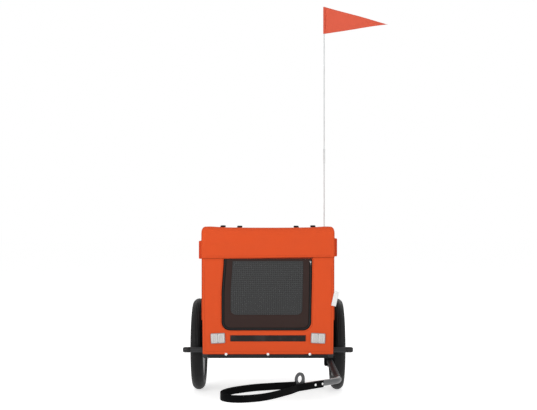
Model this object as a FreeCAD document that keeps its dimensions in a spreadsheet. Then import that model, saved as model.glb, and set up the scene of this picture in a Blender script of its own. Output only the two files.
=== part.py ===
# Dog bike trailer with sixteen-inch wheels, a fabric cabin on a tube frame, a folding
# drawbar and a safety flag. Millimetres. The origin is on the ground under the middle of
# the axle line, +X to the right seen from the front, -Y towards the hitch, +Z up.
import FreeCAD, Part
import math
import os
import re

SIZES = {
    # tubes and general fits
    "tube_diameter": 22,
    "seat_gap": 0.3,
    "running_gap": 0.05,
    "overrun": 5,
    # base frame
    "rail_height": 189,
    "cross_spacing": 220,
    "arch_bend": 24,
    "board": 6,
    "mat": 25,
    "mat_inset": 12,
    "mat_corner": 30,
    # fabric cabin
    "body_width": 540,
    "body_length": 700,
    "body_top": 714,
    "fabric": 2,
    "roof_corner": 24,
    "panel_bottom": 195,
    "side_hem": 333,
    "band_overlap": 12,
    "mesh": 1,
    "mesh_lap": 12,
    "side_window_length": 460,
    "side_window_bottom": 385,
    "side_window_height": 185,
    "side_window_corner": 40,
    "roll_margin": 50,
    "roll_depth": 15,
    "roll_height": 76,
    "roll_bottom": 587,
    "roll_edge": 6,
    # front flap and doors
    "flap_bottom": 588,
    "flap_stand": 4,
    "flap_return": 28,
    "hinge_drop": 4,
    "door_side_margin": 87,
    "door_offset": -4.5,
    "door_bottom": 294,
    "door_corner": 33,
    "door_gap": 2,
    "mesh_side_margin": 31.5,
    "mesh_foot_margin": 58,
    "mesh_head_margin": 5,
    "mesh_corner": 26,
    "pull_width": 8,
    "pull_length": 26,
    "pull_inset": 5,
    # trim on the end panels
    "webbing_width": 25,
    "webbing_gap": 21.5,
    "webbing_height": 259,
    "webbing_thickness": 1.6,
    "reflector_width": 58,
    "reflector_height": 41,
    "reflector_depth": 8,
    "reflector_corner": 4,
    "reflector_inset": 66,
    "reflector_level": 261,
    "rivet_diameter": 10.5,
    "rivet_crown": 6,
    "rivet_height": 3,
    "rivet_spacing": 170.7,
    "rivet_level": 195.5,
    "tab_width": 20,
    "tab_length": 62,
    "tab_thickness": 1,
    "tab_offset": 2,
    "tab_level": 422,
    "tie_width": 20,
    "tie_length": 120,
    "tie_thickness": 1.5,
    "tie_outer_spacing": 376,
    "tie_inner_spacing": 236,
    "buckle_width": 26,
    "buckle_length": 42,
    "buckle_thickness": 6,
    "buckle_corner": 2,
    # wheels
    "wheel_diameter": 400,
    "tyre_section": 55,
    "wheel_gap": 5,
    "rim_outer_diameter": 316,
    "rim_inner_diameter": 282,
    "rim_width": 32,
    "hub_width": 52,
    "barrel_diameter": 36,
    "flange_diameter": 58,
    "flange_thickness": 4,
    "flange_spacing": 34,
    "bearing_diameter": 28,
    "bearing_width": 10,
    "axle_diameter": 10,
    "spoke_diameter": 2,
    "spoke_sink": 2,
    "spoke_splay": 2.5,
    "spoke_landing": 4,
    "nut_flats": 17,
    "nut_height": 8,
    "washer": 2,
    # wheel guards and axle plates
    "guard_reach": 26,
    "guard_plug": 6,
    "guard_plug_crown": 17,
    "guard_gap": 19,
    "axle_plate": 6,
    "axle_plate_length": 60,
    "axle_plate_corner": 8,
    # drawbar
    "drawbar_diameter": 25,
    "bracket_plate": 4,
    "bracket_width": 44,
    "bracket_nose": 26,
    "pivot_setback": 50,
    "pivot_bolt": 10,
    "pivot_head_flats": 17,
    "pivot_head": 8,
    "drawbar_tail": 14,
    "drawbar_reach": 490,
    "drawbar_bend": 60,
    "hitch_run": 182,
    "socket_lead": 42,
    "socket_depth": 60,
    "eye_plate": 5,
    "eye_width": 46,
    "eye_hole": 24,
    "eye_rise": 26,
    "strap_width": 25,
    "strap_thickness": 2.5,
    "strap_start": 97,
    "strap_reach": 259,
    "strap_sweep": 195,
    "strap_rivet_diameter": 9,
    "strap_rivet_height": 2,
    "strap_rivet_first": 103,
    "strap_rivet_pitch": 36,
    # flag
    "flag_top": 1765,
    "pole_diameter": 6,
    "pole_gap": 0.2,
    "pole_inset": 2,
    "socket_wall": 3.5,
    "socket_height": 80,
    "socket_floor": 4,
    "ferrule_diameter": 9,
    "ferrule_length": 70,
    "pennant_drop": 128,
    "pennant_length": 304,
    "pennant_tip_drop": 82,
    "pennant_thickness": 1,
    "pennant_hem": 10,
}

# Turns in degrees, counts, and shares of named sizes.
HITCH_ANGLE = 45
REFLECTOR_TILT = 2.7
TAB_TILT = 15
SPOKE_COUNT = 24
SPOKE_SWEEP = 40
FERRULE_HEIGHT_SHARE = 0.55
STRAP_ROUNDING_SHARE = 0.45
# The strap's loop seen from above: across as a share of its reach, ahead as a share of its sweep.
STRAP_LOOP_SHARES = (
    (0.10, 0.30),
    (0.42, 0.80),
    (0.72, 1.00),
    (0.93, 0.90),
    (1.00, 0.62),
    (0.90, 0.34),
    (0.62, 0.16),
    (0.34, 0.10),
    (0.05, 0.045),
)

LAYOUT = {
    "tube_radius": "tube_diameter / 2",
    "half_width": "body_width / 2",
    "half_length": "body_length / 2",
    "rail_x": "half_width - 2 * fabric - seat_gap - tube_radius",
    "base_y": "half_length - fabric - seat_gap - tube_radius",
    "arch_inset": "roof_corner - (roof_corner - fabric - tube_radius - seat_gap) / sqrt(2)",
    "arch_y": "half_length - arch_inset",
    "arch_top": "body_top - arch_inset",
    "rail_top": "rail_height + tube_radius",
    "spreader_height": "arch_top - arch_bend - tube_diameter",
    "board_top": "rail_top + board",
    "wheel_x": "half_width + wheel_gap + tyre_section / 2",
    "wheel_radius": "wheel_diameter / 2",
    "axle_height": "wheel_radius",
    "tyre_ring": "wheel_radius - tyre_section / 2",
    "guard_side": "wheel_x + tyre_section / 2 + guard_reach",
    "guard_end": "guard_side - guard_plug",
    "guard_y": "wheel_radius + guard_gap + tube_radius",
    "rail_side": "rail_x + tube_radius",
    "band_bottom": "axle_height + tube_radius + seat_gap",
    "band_top": "side_hem + band_overlap",
    "side_top": "body_top - roof_corner",
    "roll_length": "body_length - 2 * roll_margin",
    "door_top": "flap_bottom - hinge_drop",
    "door_width": "body_width - 2 * door_side_margin",
    "door_height": "door_top - door_bottom",
    "hinge_level": "door_top - fabric / 2",
    "door_level": "(door_top + door_bottom) / 2",
    "reflector_x": "half_width - reflector_inset",
    "webbing_length": "2 * reflector_x - reflector_width - 2 * webbing_gap",
    "drawbar_radius": "drawbar_diameter / 2",
    "bracket_top": "rail_height - tube_radius",
    "drawbar_height": "bracket_top - bracket_plate - seat_gap - drawbar_radius",
    "bracket_foot": "drawbar_height - drawbar_radius - seat_gap - bracket_plate",
    "pivot_y": "half_length - pivot_setback",
    "corner_y": "half_length + drawbar_reach",
    "sleeve_end": "corner_y - socket_lead",
    "pole_radius": "pole_diameter / 2",
    "socket_radius": "pole_radius + pole_gap + socket_wall",
    "pole_x": "half_width - pole_inset",
    "pole_y": "half_length + seat_gap + socket_radius",
    "socket_foot": "rail_height - tube_radius",
    "pole_foot": "socket_foot + socket_floor",
}

doc = FreeCAD.newDocument("dog_bike_trailer")
sizes = doc.addObject("Spreadsheet::Sheet", "sizes")
layout = doc.addObject("Spreadsheet::Sheet", "layout")
NODES = []
Vector = FreeCAD.Vector
Rotation = FreeCAD.Rotation
UP = Vector(0, 0, 1)
TURN_ALONG = {
    "X": Rotation(Vector(0, 1, 0), 90),
    "Y": Rotation(Vector(1, 0, 0), -90),
    "Z": Rotation(),
}
SIDES = (("left", -1), ("right", 1))
ENDS = (("front", -1), ("rear", 1))


def owned(text, tables):
    """The formula with each size written as its sheet's cell."""

    def cell(match):
        word = match.group(0)
        for prefix, table in tables:
            if word in table:
                return prefix + word
        return word

    return re.sub(r"[a-z][a-z_0-9]*", cell, text)


def formula(text):
    return owned(text, (("sizes.", SIZES), ("layout.", LAYOUT)))


def fill_sheets():
    """Driving sizes as plain numbers, places worked out from them as formulas."""
    for row, (name, number) in enumerate(SIZES.items(), start=1):
        sizes.set(f"A{row}", name)
        sizes.set(f"B{row}", str(number))
        sizes.setAlias(f"B{row}", name)
    doc.recompute()
    for row, (name, text) in enumerate(LAYOUT.items(), start=1):
        layout.set(f"A{row}", name)
        layout.set(f"B{row}", "=" + owned(text, (("sizes.", SIZES),)))
        layout.setAlias(f"B{row}", name)
    doc.recompute()


def size(name):
    """A size or a place as a number, for the shapes that are made in code."""
    sheet = sizes if name in SIZES else layout
    return float(sheet.get(name))


def bind(piece, formulas):
    for path, text in formulas.items():
        piece.setExpression(path, formula(text))


def place(piece, at, turn=None):
    if turn is not None:
        piece.Placement = FreeCAD.Placement(Vector(), turn)
    bind(piece, {f"Placement.Base.{axis}": text for axis, text in zip("xyz", at)})


def node(piece):
    """Marks an object as a sub-part with a file of its own."""
    NODES.append(piece)
    return piece


def add(kind, name):
    piece = doc.addObject(kind, name)
    piece.Label = name
    return piece


def block(name, spans, centre, turn=None):
    piece = add("Part::Box", name)
    bind(piece, dict(zip(("Length", "Width", "Height"), spans)))
    place(piece, [f"{middle} - ({span}) / 2" for middle, span in zip(centre, spans)])
    return piece


def cylinder(name, radius, length, centre, along="Z"):
    piece = add("Part::Cylinder", name)
    bind(piece, {"Radius": radius, "Height": length})
    axis = "XYZ".index(along)
    at = list(centre)
    at[axis] = f"{at[axis]} - ({length}) / 2"
    place(piece, at, TURN_ALONG[along])
    return piece


def hexagon(name, flats, height, centre, along="Z"):
    piece = add("Part::Prism", name)
    piece.Polygon = 6
    bind(piece, {"Circumradius": f"{flats} / 2 / cos(30)", "Height": height})
    axis = "XYZ".index(along)
    at = list(centre)
    at[axis] = f"{at[axis]} - ({height}) / 2"
    place(piece, at, TURN_ALONG[along])
    return piece


def torus(name, ring, section, centre, along="Z"):
    piece = add("Part::Torus", name)
    bind(piece, {"Radius1": ring, "Radius2": section})
    place(piece, centre, TURN_ALONG[along])
    return piece


def cut(name, base, *tools):
    piece = add("Part::Cut", name)
    piece.Base = base
    piece.Tool = tools[0] if len(tools) == 1 else fuse(name + "_tools", *tools)
    return piece


def fuse(name, *members):
    piece = add("Part::MultiFuse", name)
    piece.Shapes = list(members)
    return piece


def group(name, members):
    """Like pieces that share one node, each a solid of its own."""
    piece = add("Part::Compound", name)
    piece.Links = list(members)
    return piece


def rounded(name, spans, centre, radius, chosen, turn=None):
    """A block whose chosen edges are rounded, in a body that is turned about its own centre."""
    body = add("PartDesign::Body", name)
    core = body.newObject("PartDesign::AdditiveBox", name + "_block")
    bind(core, dict(zip(("Length", "Width", "Height"), spans)))
    place(core, [f"0 - ({span}) / 2" for span in spans])
    doc.recompute()
    edges = []
    for number, edge in enumerate(core.Shape.Edges, start=1):
        run = edge.Vertexes[1].Point - edge.Vertexes[0].Point
        middle = edge.CenterOfMass
        if chosen(run.normalize(), middle):
            edges.append(f"Edge{number}")
    fillet = body.newObject("PartDesign::Fillet", name + "_rounding")
    fillet.Base = (core, edges)
    bind(fillet, {"Radius": radius})
    place(body, centre, turn)
    return body


def along_x(run, middle):
    return abs(run.x) > 0.5


def along_y(run, middle):
    return abs(run.y) > 0.5


def along_z(run, middle):
    return abs(run.z) > 0.5


def lower_corners(run, middle):
    return abs(run.y) > 0.5 and middle.z < 0


def top_edges(run, middle):
    return middle.z > 0 and abs(run.z) < 0.5


def top_and_front_edges(run, middle):
    return middle.z > 0 and (abs(run.y) > 0.5 or abs(run.x) > 0.5 and middle.y < 0)


def rounded_wire(points, radii):
    """Straight runs through the points, with a tangent arc at each inner point."""
    edges = []
    start = points[0]
    for before, corner, after, radius in zip(points, points[1:], points[2:], radii):
        back = (before - corner).normalize()
        ahead = (after - corner).normalize()
        half = back.getAngle(ahead) / 2
        reach = radius / math.tan(half)
        middle = (back + ahead).normalize()
        enter = corner + back * reach
        leave = corner + ahead * reach
        nearest = corner + middle * (radius / math.sin(half) - radius)
        if (enter - start).Length > 1e-6:
            edges.append(Part.LineSegment(start, enter).toShape())
        edges.append(Part.Arc(enter, nearest, leave).toShape())
        start = leave
    edges.append(Part.LineSegment(start, points[-1]).toShape())
    return Part.Wire(edges)


def bent_tube(name, radius, points, bend):
    """A round tube swept along straight runs and bends of one radius."""
    path = add("Part::Feature", name + "_path")
    path.Shape = rounded_wire(points, [bend] * (len(points) - 2))
    section = add("Part::Circle", name + "_section")
    bind(section, {"Radius": radius})
    heading = Rotation(UP, (points[1] - points[0]).normalize())
    section.Placement = FreeCAD.Placement(points[0], heading)
    tube = add("Part::Sweep", name)
    tube.Sections = [section]
    tube.Spine = (path, [f"Edge{number}" for number in range(1, len(path.Shape.Edges) + 1)])
    tube.Solid = True
    return tube


def base_frame():
    for side, sign in SIDES:
        node(cylinder(f"base_rail_{side}", "tube_radius", "2 * (base_y + tube_radius)",
                      (f"{sign} * rail_x", "0", "rail_height"), "Y"))
    places = ("0 - base_y", "0 - cross_spacing / 2", "cross_spacing / 2", "base_y")
    span = "2 * (rail_x - tube_radius)"
    tubes = [cylinder(f"crosstube_{number}", "tube_radius", span, ("0", y, "rail_height"), "X")
             for number, y in enumerate(places, start=1)]
    node(group("base_crosstubes", tubes))
    board_spans = ("2 * (rail_x - tube_radius) - 2 * seat_gap", "2 * (base_y + tube_radius)", "board")
    node(block("floor_board", board_spans, ("0", "0", "rail_top + board / 2")))
    node(rounded("floor_mat", ("2 * (rail_x - tube_radius - mat_inset)", "2 * (arch_y - mat_inset)", "mat"),
                 ("0", "0", "board_top + mat / 2"), "mat_corner", along_z))


def arches():
    for end, sign in ENDS:
        x = size("rail_x")
        y = sign * size("arch_y")
        foot = size("rail_top")
        top = size("arch_top")
        points = [Vector(-x, y, foot), Vector(-x, y, top), Vector(x, y, top), Vector(x, y, foot)]
        node(bent_tube(f"{end}_arch", "tube_radius", points, size("arch_bend")))
    tubes = [cylinder(f"top_spreader_{side}", "tube_radius", "2 * (arch_y - tube_radius)",
                      (f"{sign} * rail_x", "0", "spreader_height"), "Y") for side, sign in SIDES]
    node(group("top_spreaders", tubes))


def wheel_guards():
    """A plugged bumper bar in front of each wheel, and the plates that carry the axles."""
    plates = []
    for side, sign in SIDES:
        bar = cylinder(f"guard_bar_{side}", "tube_radius", "guard_end - rail_side",
                       (f"{sign} * (guard_end + rail_side) / 2", "0 - guard_y", "axle_height"), "X")
        plug = add("Part::Cone", f"guard_plug_{side}")
        bind(plug, {"Radius1": "tube_radius", "Radius2": "guard_plug_crown / 2", "Height": "guard_plug"})
        place(plug, (f"{sign} * guard_end", "0 - guard_y", "axle_height"),
              Rotation(Vector(0, 1, 0), sign * 90))
        node(fuse(f"wheel_guard_{side}", bar, plug))
        plate = rounded(f"axle_plate_blank_{side}",
                        ("axle_plate", "axle_plate_length", "axle_height + tube_radius - bracket_top"),
                        (f"{sign} * (rail_side + axle_plate / 2)", "0",
                         "(axle_height + tube_radius + bracket_top) / 2"),
                        "axle_plate_corner", along_x)
        hole = cylinder(f"axle_plate_drill_{side}", "axle_diameter / 2 + running_gap",
                        "axle_plate + 2 * overrun",
                        (f"{sign} * (rail_side + axle_plate / 2)", "0", "axle_height"), "X")
        plates.append(cut(f"axle_plate_{side}", plate, hole))
    node(group("axle_plates", plates))


def spokes(name, sign):
    """Crossed wire spokes, on alternate flanges and alternately leading and trailing."""
    hub_radius = size("flange_diameter") / 2 - size("spoke_sink")
    rim_radius = size("rim_inner_diameter") / 2 + size("spoke_sink")
    hub_middle = Vector(sign * size("wheel_x"), 0, size("axle_height"))
    wires = []
    for number in range(SPOKE_COUNT):
        flange = 1 if number % 2 else -1
        lead = 1 if number // 2 % 2 else -1
        rim_angle = 2 * math.pi * number / SPOKE_COUNT
        hub_angle = rim_angle + lead * math.radians(SPOKE_SWEEP)
        hub_x = flange * size("flange_spacing") / 2 + lead * size("spoke_splay")
        rim_x = flange * size("spoke_landing")
        start = hub_middle + Vector(hub_x, hub_radius * math.cos(hub_angle), hub_radius * math.sin(hub_angle))
        end = hub_middle + Vector(rim_x, rim_radius * math.cos(rim_angle), rim_radius * math.sin(rim_angle))
        wires.append(Part.makeCylinder(size("spoke_diameter") / 2, (end - start).Length, start, end - start))
    piece = add("Part::Feature", name)
    piece.Shape = Part.makeCompound(wires)
    return piece


def wheels():
    for side, sign in SIDES:
        x = f"{sign} * wheel_x"
        middle = (x, "0", "axle_height")
        node(torus(f"{side}_tyre", "tyre_ring", "tyre_section / 2", middle, "X"))
        band = cylinder(f"{side}_rim_band", "rim_outer_diameter / 2", "rim_width", middle, "X")
        hollow = cylinder(f"{side}_rim_hollow", "rim_inner_diameter / 2",
                          "rim_width + 2 * overrun", middle, "X")
        seat = torus(f"{side}_rim_seat", "tyre_ring", "tyre_section / 2", middle, "X")
        node(cut(f"{side}_rim", band, hollow, seat))
        node(spokes(f"{side}_spokes", sign))
        barrel = cylinder(f"{side}_hub_barrel", "barrel_diameter / 2", "hub_width", middle, "X")
        flanges = [cylinder(f"{side}_flange_{number}", "flange_diameter / 2", "flange_thickness",
                            (f"{x} + {way} * flange_spacing / 2", "0", "axle_height"), "X")
                   for number, way in enumerate((-1, 1), start=1)]
        bore = cylinder(f"{side}_hub_bore", "bearing_diameter / 2", "hub_width + 2 * overrun", middle, "X")
        node(cut(f"{side}_hub", fuse(f"{side}_hub_body", barrel, *flanges), bore))
        rings = []
        for number, way in enumerate((-1, 1), start=1):
            at = (f"{x} + {way} * (hub_width - bearing_width) / 2", "0", "axle_height")
            outer = cylinder(f"{side}_bearing_outer_{number}", "bearing_diameter / 2",
                             "bearing_width", at, "X")
            inner = cylinder(f"{side}_bearing_inner_{number}", "axle_diameter / 2 + running_gap",
                             "bearing_width + 2 * overrun", at, "X")
            rings.append(cut(f"{side}_bearing_{number}", outer, inner))
        node(group(f"{side}_bearings", rings))
        axle_hardware(side, sign)


def axle_hardware(side, sign):
    """The fixed axle with its lock nut inside the hub, and a washer and nut outside it."""
    lock_start = "rail_side + axle_plate"
    lock_end = "wheel_x - hub_width / 2 - seat_gap"
    washer_start = "wheel_x + hub_width / 2 + seat_gap"
    nut_start = f"{washer_start} + washer"
    outer_end = f"{nut_start} + nut_height + overrun / 2"
    node(cylinder(f"{side}_axle", "axle_diameter / 2", f"{outer_end} - rail_side",
                  (f"{sign} * ({outer_end} + rail_side) / 2", "0", "axle_height"), "X"))
    pieces = [
        hexagon(f"{side}_lock_nut_blank", "nut_flats", f"{lock_end} - ({lock_start})",
                (f"{sign} * ({lock_start} + {lock_end}) / 2", "0", "axle_height"), "X"),
        cylinder(f"{side}_washer_blank", "nut_flats / 2 + washer", "washer",
                 (f"{sign} * ({washer_start} + washer / 2)", "0", "axle_height"), "X"),
        hexagon(f"{side}_outer_nut_blank", "nut_flats", "nut_height",
                (f"{sign} * ({nut_start} + nut_height / 2)", "0", "axle_height"), "X"),
    ]
    rings = []
    for number, piece in enumerate(pieces, start=1):
        hole = cylinder(f"{side}_axle_hole_{number}", "axle_diameter / 2 + running_gap", "2 * guard_side",
                        (f"{sign} * wheel_x", "0", "axle_height"), "X")
        rings.append(cut(f"{side}_axle_ring_{number}", piece, hole))
    node(group(f"{side}_axle_hardware", rings))


def cabin():
    """The fabric walls: a roof over the arches, side walls, and end panels with zipped doors."""
    shell = rounded("roof_shell", ("body_width", "body_length", "2 * roof_corner"),
                    ("0", "0", "body_top - roof_corner"), "roof_corner", top_edges)
    hollow = rounded("roof_hollow",
                     ("body_width - 2 * fabric", "body_length - 2 * fabric", "2 * roof_corner"),
                     ("0", "0", "body_top - roof_corner - fabric"), "roof_corner - fabric", top_edges)
    below = block("roof_trim", ("body_width + 2 * overrun", "body_length + 2 * overrun", "2 * roof_corner"),
                  ("0", "0", "side_top - roof_corner"))
    node(cut("roof_panel", shell, hollow, below))
    bands = []
    meshes = []
    rolls = []
    for side, sign in SIDES:
        wall = block(f"side_wall_{side}", ("fabric", "body_length", "side_top - side_hem"),
                     (f"{sign} * (half_width - fabric / 2)", "0", "(side_top + side_hem) / 2"))
        window_middle = "side_window_bottom + side_window_height / 2"
        window_spans = ("fabric + 2 * overrun", "side_window_length", "side_window_height")
        window = rounded(f"side_window_{side}", window_spans, (f"{sign} * half_width", "0", window_middle),
                         "side_window_corner", along_x)
        node(cut(f"side_panel_{side}", wall, window))
        mesh_spans = ("mesh", "side_window_length + 2 * mesh_lap", "side_window_height + 2 * mesh_lap")
        mesh_at = (f"{sign} * (half_width - fabric - mesh / 2)", "0", window_middle)
        meshes.append(rounded(f"side_mesh_{side}", mesh_spans, mesh_at, "side_window_corner", along_x))
        band_spans = ("fabric", "body_length - 2 * fabric", "band_top - band_bottom")
        band_at = (f"{sign} * (half_width - fabric - fabric / 2)", "0", "(band_top + band_bottom) / 2")
        bands.append(block(f"side_band_{side}", band_spans, band_at))
        roll_at = (f"{sign} * (half_width + roll_depth / 2)", "0", "roll_bottom + roll_height / 2")
        rolls.append(rounded(f"rolled_cover_{side}", ("roll_depth", "roll_length", "roll_height"),
                             roll_at, "roll_edge", along_y))
    node(group("side_meshes", meshes))
    node(group("side_bands", bands))
    node(group("rolled_side_covers", rolls))
    for end, sign in ENDS:
        end_panel(end, sign)


def end_panel(end, sign):
    """A panel with its door: a bordered mesh held in the doorway by a zip."""
    panel_y = f"{sign} * (half_length - fabric / 2)"
    outer_y = f"{sign} * half_length"
    wall = block(f"{end}_wall", ("body_width - 2 * fabric", "fabric", "side_top - panel_bottom"),
                 ("0", panel_y, "(side_top + panel_bottom) / 2"))
    doorway = rounded(f"{end}_doorway",
                      ("door_width + 2 * door_gap", "fabric + 2 * overrun",
                       "door_height + door_gap + seat_gap"),
                      ("door_offset", panel_y, "door_level + (seat_gap - door_gap) / 2"),
                      "door_corner + door_gap", lower_corners)
    node(cut(f"{end}_panel", wall, doorway))
    leaf = rounded(f"{end}_leaf", ("door_width", "fabric", "hinge_level - door_bottom"),
                   ("door_offset", panel_y, "(hinge_level + door_bottom) / 2"), "door_corner", lower_corners)
    hem = cylinder(f"{end}_door_hem", "fabric / 2", "door_width",
                   ("door_offset", panel_y, "hinge_level"), "X")
    mesh_height = "door_height - mesh_foot_margin - mesh_head_margin"
    mesh_spans = ("door_width - 2 * mesh_side_margin", "mesh", mesh_height)
    mesh_middle = "door_level + (mesh_foot_margin - mesh_head_margin) / 2"
    opening = rounded(f"{end}_mesh_opening", (mesh_spans[0], "fabric + 2 * overrun", mesh_spans[2]),
                      ("door_offset", panel_y, mesh_middle), "mesh_corner", lower_corners)
    node(cut(f"{end}_door_border", fuse(f"{end}_door_edge", leaf, hem), opening))
    node(rounded(f"{end}_door_mesh", mesh_spans, ("door_offset", panel_y, mesh_middle),
                 "mesh_corner", lower_corners))
    node(block(f"{end}_zip_pull", ("pull_width", "fabric", "pull_length"),
               ("door_offset + door_width / 2 - pull_inset", f"{outer_y} + {sign} * fabric / 2",
                "door_top - pull_length")))
    lamps = []
    rivets = []
    for side, way in SIDES:
        lamp_at = (f"{way} * reflector_x", f"{outer_y} + {sign} * reflector_depth / 2", "reflector_level")
        lamps.append(rounded(f"{end}_reflector_{side}",
                             ("reflector_width", "reflector_depth", "reflector_height"), lamp_at,
                             "reflector_corner", along_y, Rotation(Vector(0, 1, 0), way * REFLECTOR_TILT)))
    node(group(f"{end}_reflectors", lamps))
    for number, step in enumerate((-1, 0, 1), start=1):
        rivet = add("Part::Cone", f"{end}_rivet_{number}")
        bind(rivet, {"Radius1": "rivet_diameter / 2", "Radius2": "rivet_crown / 2", "Height": "rivet_height"})
        place(rivet, (f"{step} * rivet_spacing", outer_y, "rivet_level"),
              Rotation(Vector(1, 0, 0), -sign * 90))
        rivets.append(rivet)
    node(group(f"{end}_rivets", rivets))


def front_trim():
    """The flap that wraps over the roof's front edge, the webbing, the ties and the sewn tab."""
    depth = "flap_stand + fabric + flap_return"
    middle_y = f"0 - (half_length + flap_stand + fabric - ({depth}) / 2)"
    outer = rounded("flap_outer", ("body_width + 2 * fabric", depth, "body_top + fabric - flap_bottom"),
                    ("0", middle_y, "(body_top + fabric + flap_bottom) / 2"), "roof_corner + fabric",
                    top_and_front_edges)
    inner = rounded("flap_inner", ("body_width", depth, "body_top + overrun - flap_bottom"),
                    ("0", f"{middle_y} + fabric", "(body_top - overrun + flap_bottom) / 2"), "roof_corner",
                    top_and_front_edges)
    node(cut("front_flap", outer, inner))
    node(block("front_webbing", ("webbing_length", "webbing_thickness", "webbing_width"),
               ("0", "0 - half_length - webbing_thickness / 2", "webbing_height")))
    tab = rounded("seam_tab", ("tab_width", "tab_thickness", "tab_length"),
                  ("half_width + tab_offset", "0 - half_length - tab_thickness / 2", "tab_level"),
                  "tab_thickness", along_y, Rotation(Vector(0, 1, 0), -TAB_TILT))
    node(tab)
    ties = []
    buckles = []
    tie_start = "half_length - flap_return"
    for number, (spacing, way) in enumerate((("tie_outer_spacing", -1), ("tie_inner_spacing", -1),
                                             ("tie_inner_spacing", 1), ("tie_outer_spacing", 1)), start=1):
        x = f"{way} * {spacing} / 2"
        ties.append(block(f"roof_tie_{number}", ("tie_width", "tie_length", "tie_thickness"),
                          (x, f"0 - ({tie_start} - tie_length / 2)", "body_top + tie_thickness / 2")))
        buckles.append(rounded(f"tie_buckle_{number}", ("buckle_width", "buckle_length", "buckle_thickness"),
                               (x, f"0 - ({tie_start} - tie_length + buckle_length / 2)",
                                "body_top + tie_thickness + buckle_thickness / 2"), "buckle_corner", along_y))
    node(group("roof_ties", ties))
    node(group("tie_buckles", buckles))


def drawbar():
    """A bracket under the right rail, and the arm that swings in it and ends in the hitch eye."""
    pivot = "0 - pivot_y"
    cheek_span = "bracket_nose + drawbar_tail + bracket_plate + drawbar_radius"
    cheek_middle = f"{pivot} + (drawbar_tail + bracket_plate + drawbar_radius - bracket_nose) / 2"
    channel = block("bracket_channel", ("bracket_width", cheek_span, "bracket_top - bracket_foot"),
                    ("rail_x", cheek_middle, "(bracket_top + bracket_foot) / 2"))
    slot = block("bracket_slot", ("bracket_width + 2 * overrun", cheek_span,
                                  "bracket_top - bracket_foot - 2 * bracket_plate"),
                 ("rail_x", f"{cheek_middle} - bracket_plate", "(bracket_top + bracket_foot) / 2"))
    pivot_hole = cylinder("bracket_hole", "pivot_bolt / 2 + running_gap", "bracket_top",
                          ("rail_x", pivot, "bracket_foot"))
    node(cut("drawbar_bracket", channel, slot, pivot_hole))
    shank = cylinder("pivot_shank", "pivot_bolt / 2", "bracket_top - bracket_foot",
                     ("rail_x", pivot, "(bracket_top + bracket_foot) / 2"))
    head = hexagon("pivot_bolt_head", "pivot_head_flats", "pivot_head",
                   ("rail_x", pivot, "bracket_foot - pivot_head / 2"))
    node(fuse("drawbar_pivot_bolt", shank, head))
    sleeve = cylinder("sleeve_bar", "drawbar_radius", "sleeve_end - pivot_y + drawbar_tail",
                      ("rail_x", "0 - (sleeve_end + pivot_y - drawbar_tail) / 2", "drawbar_height"), "Y")
    eyelet = cylinder("sleeve_pivot_hole", "pivot_bolt / 2 + running_gap", "drawbar_diameter + 2 * overrun",
                      ("rail_x", pivot, "drawbar_height"))
    bore_middle = "0 - (sleeve_end + overrun - (socket_depth + overrun) / 2)"
    bore = cylinder("sleeve_bore", "tube_radius + running_gap", "socket_depth + overrun",
                    ("rail_x", bore_middle, "drawbar_height"), "Y")
    node(cut("drawbar_sleeve", sleeve, eyelet, bore))
    hitch()


def hitch():
    """The bent front tube with its eye plate and the webbing safety strap."""
    angle = math.radians(HITCH_ANGLE)
    heading = Vector(-math.sin(angle), -math.cos(angle), 0)
    outward = Vector(math.cos(angle), -math.sin(angle), 0)
    corner = Vector(size("rail_x"), -size("corner_y"), size("drawbar_height"))
    start = corner + Vector(0, size("socket_lead") + size("socket_depth"), 0)
    end = corner + heading * size("hitch_run")
    node(bent_tube("drawbar_front_tube", "tube_radius", [start, corner, end], size("drawbar_bend")))

    turn = Rotation(UP, math.degrees(math.atan2(heading.y, heading.x)))
    rise = size("eye_rise")
    half = size("eye_width") / 2
    foot = size("tube_radius")
    plate_middle = end + heading * half
    plate = add("Part::Box", "eye_blank")
    bind(plate, {"Length": "eye_width", "Width": "eye_plate", "Height": "tube_radius + eye_rise"})
    plate_side = turn.multVec(Vector(0, size("eye_plate") / 2, 0))
    plate.Placement = FreeCAD.Placement(end - plate_side - UP * foot, turn)
    eye_turn = turn.multiply(Rotation(Vector(1, 0, 0), 90))
    eye_middle = plate_middle + UP * rise
    crown = add("Part::Cylinder", "eye_crown")
    bind(crown, {"Radius": "eye_width / 2", "Height": "eye_plate"})
    crown.Placement = FreeCAD.Placement(eye_middle, eye_turn).multiply(
        FreeCAD.Placement(Vector(0, 0, -size("eye_plate") / 2), Rotation()))
    hole = add("Part::Cylinder", "eye_hole_tool")
    bind(hole, {"Radius": "eye_hole / 2", "Height": "eye_plate + 2 * overrun"})
    hole.Placement = FreeCAD.Placement(eye_middle, eye_turn).multiply(
        FreeCAD.Placement(Vector(0, 0, -size("eye_plate") / 2 - size("overrun")), Rotation()))
    node(cut("hitch_eye", fuse("eye_body", plate, crown), hole))
    safety_strap(corner, heading, outward)


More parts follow.
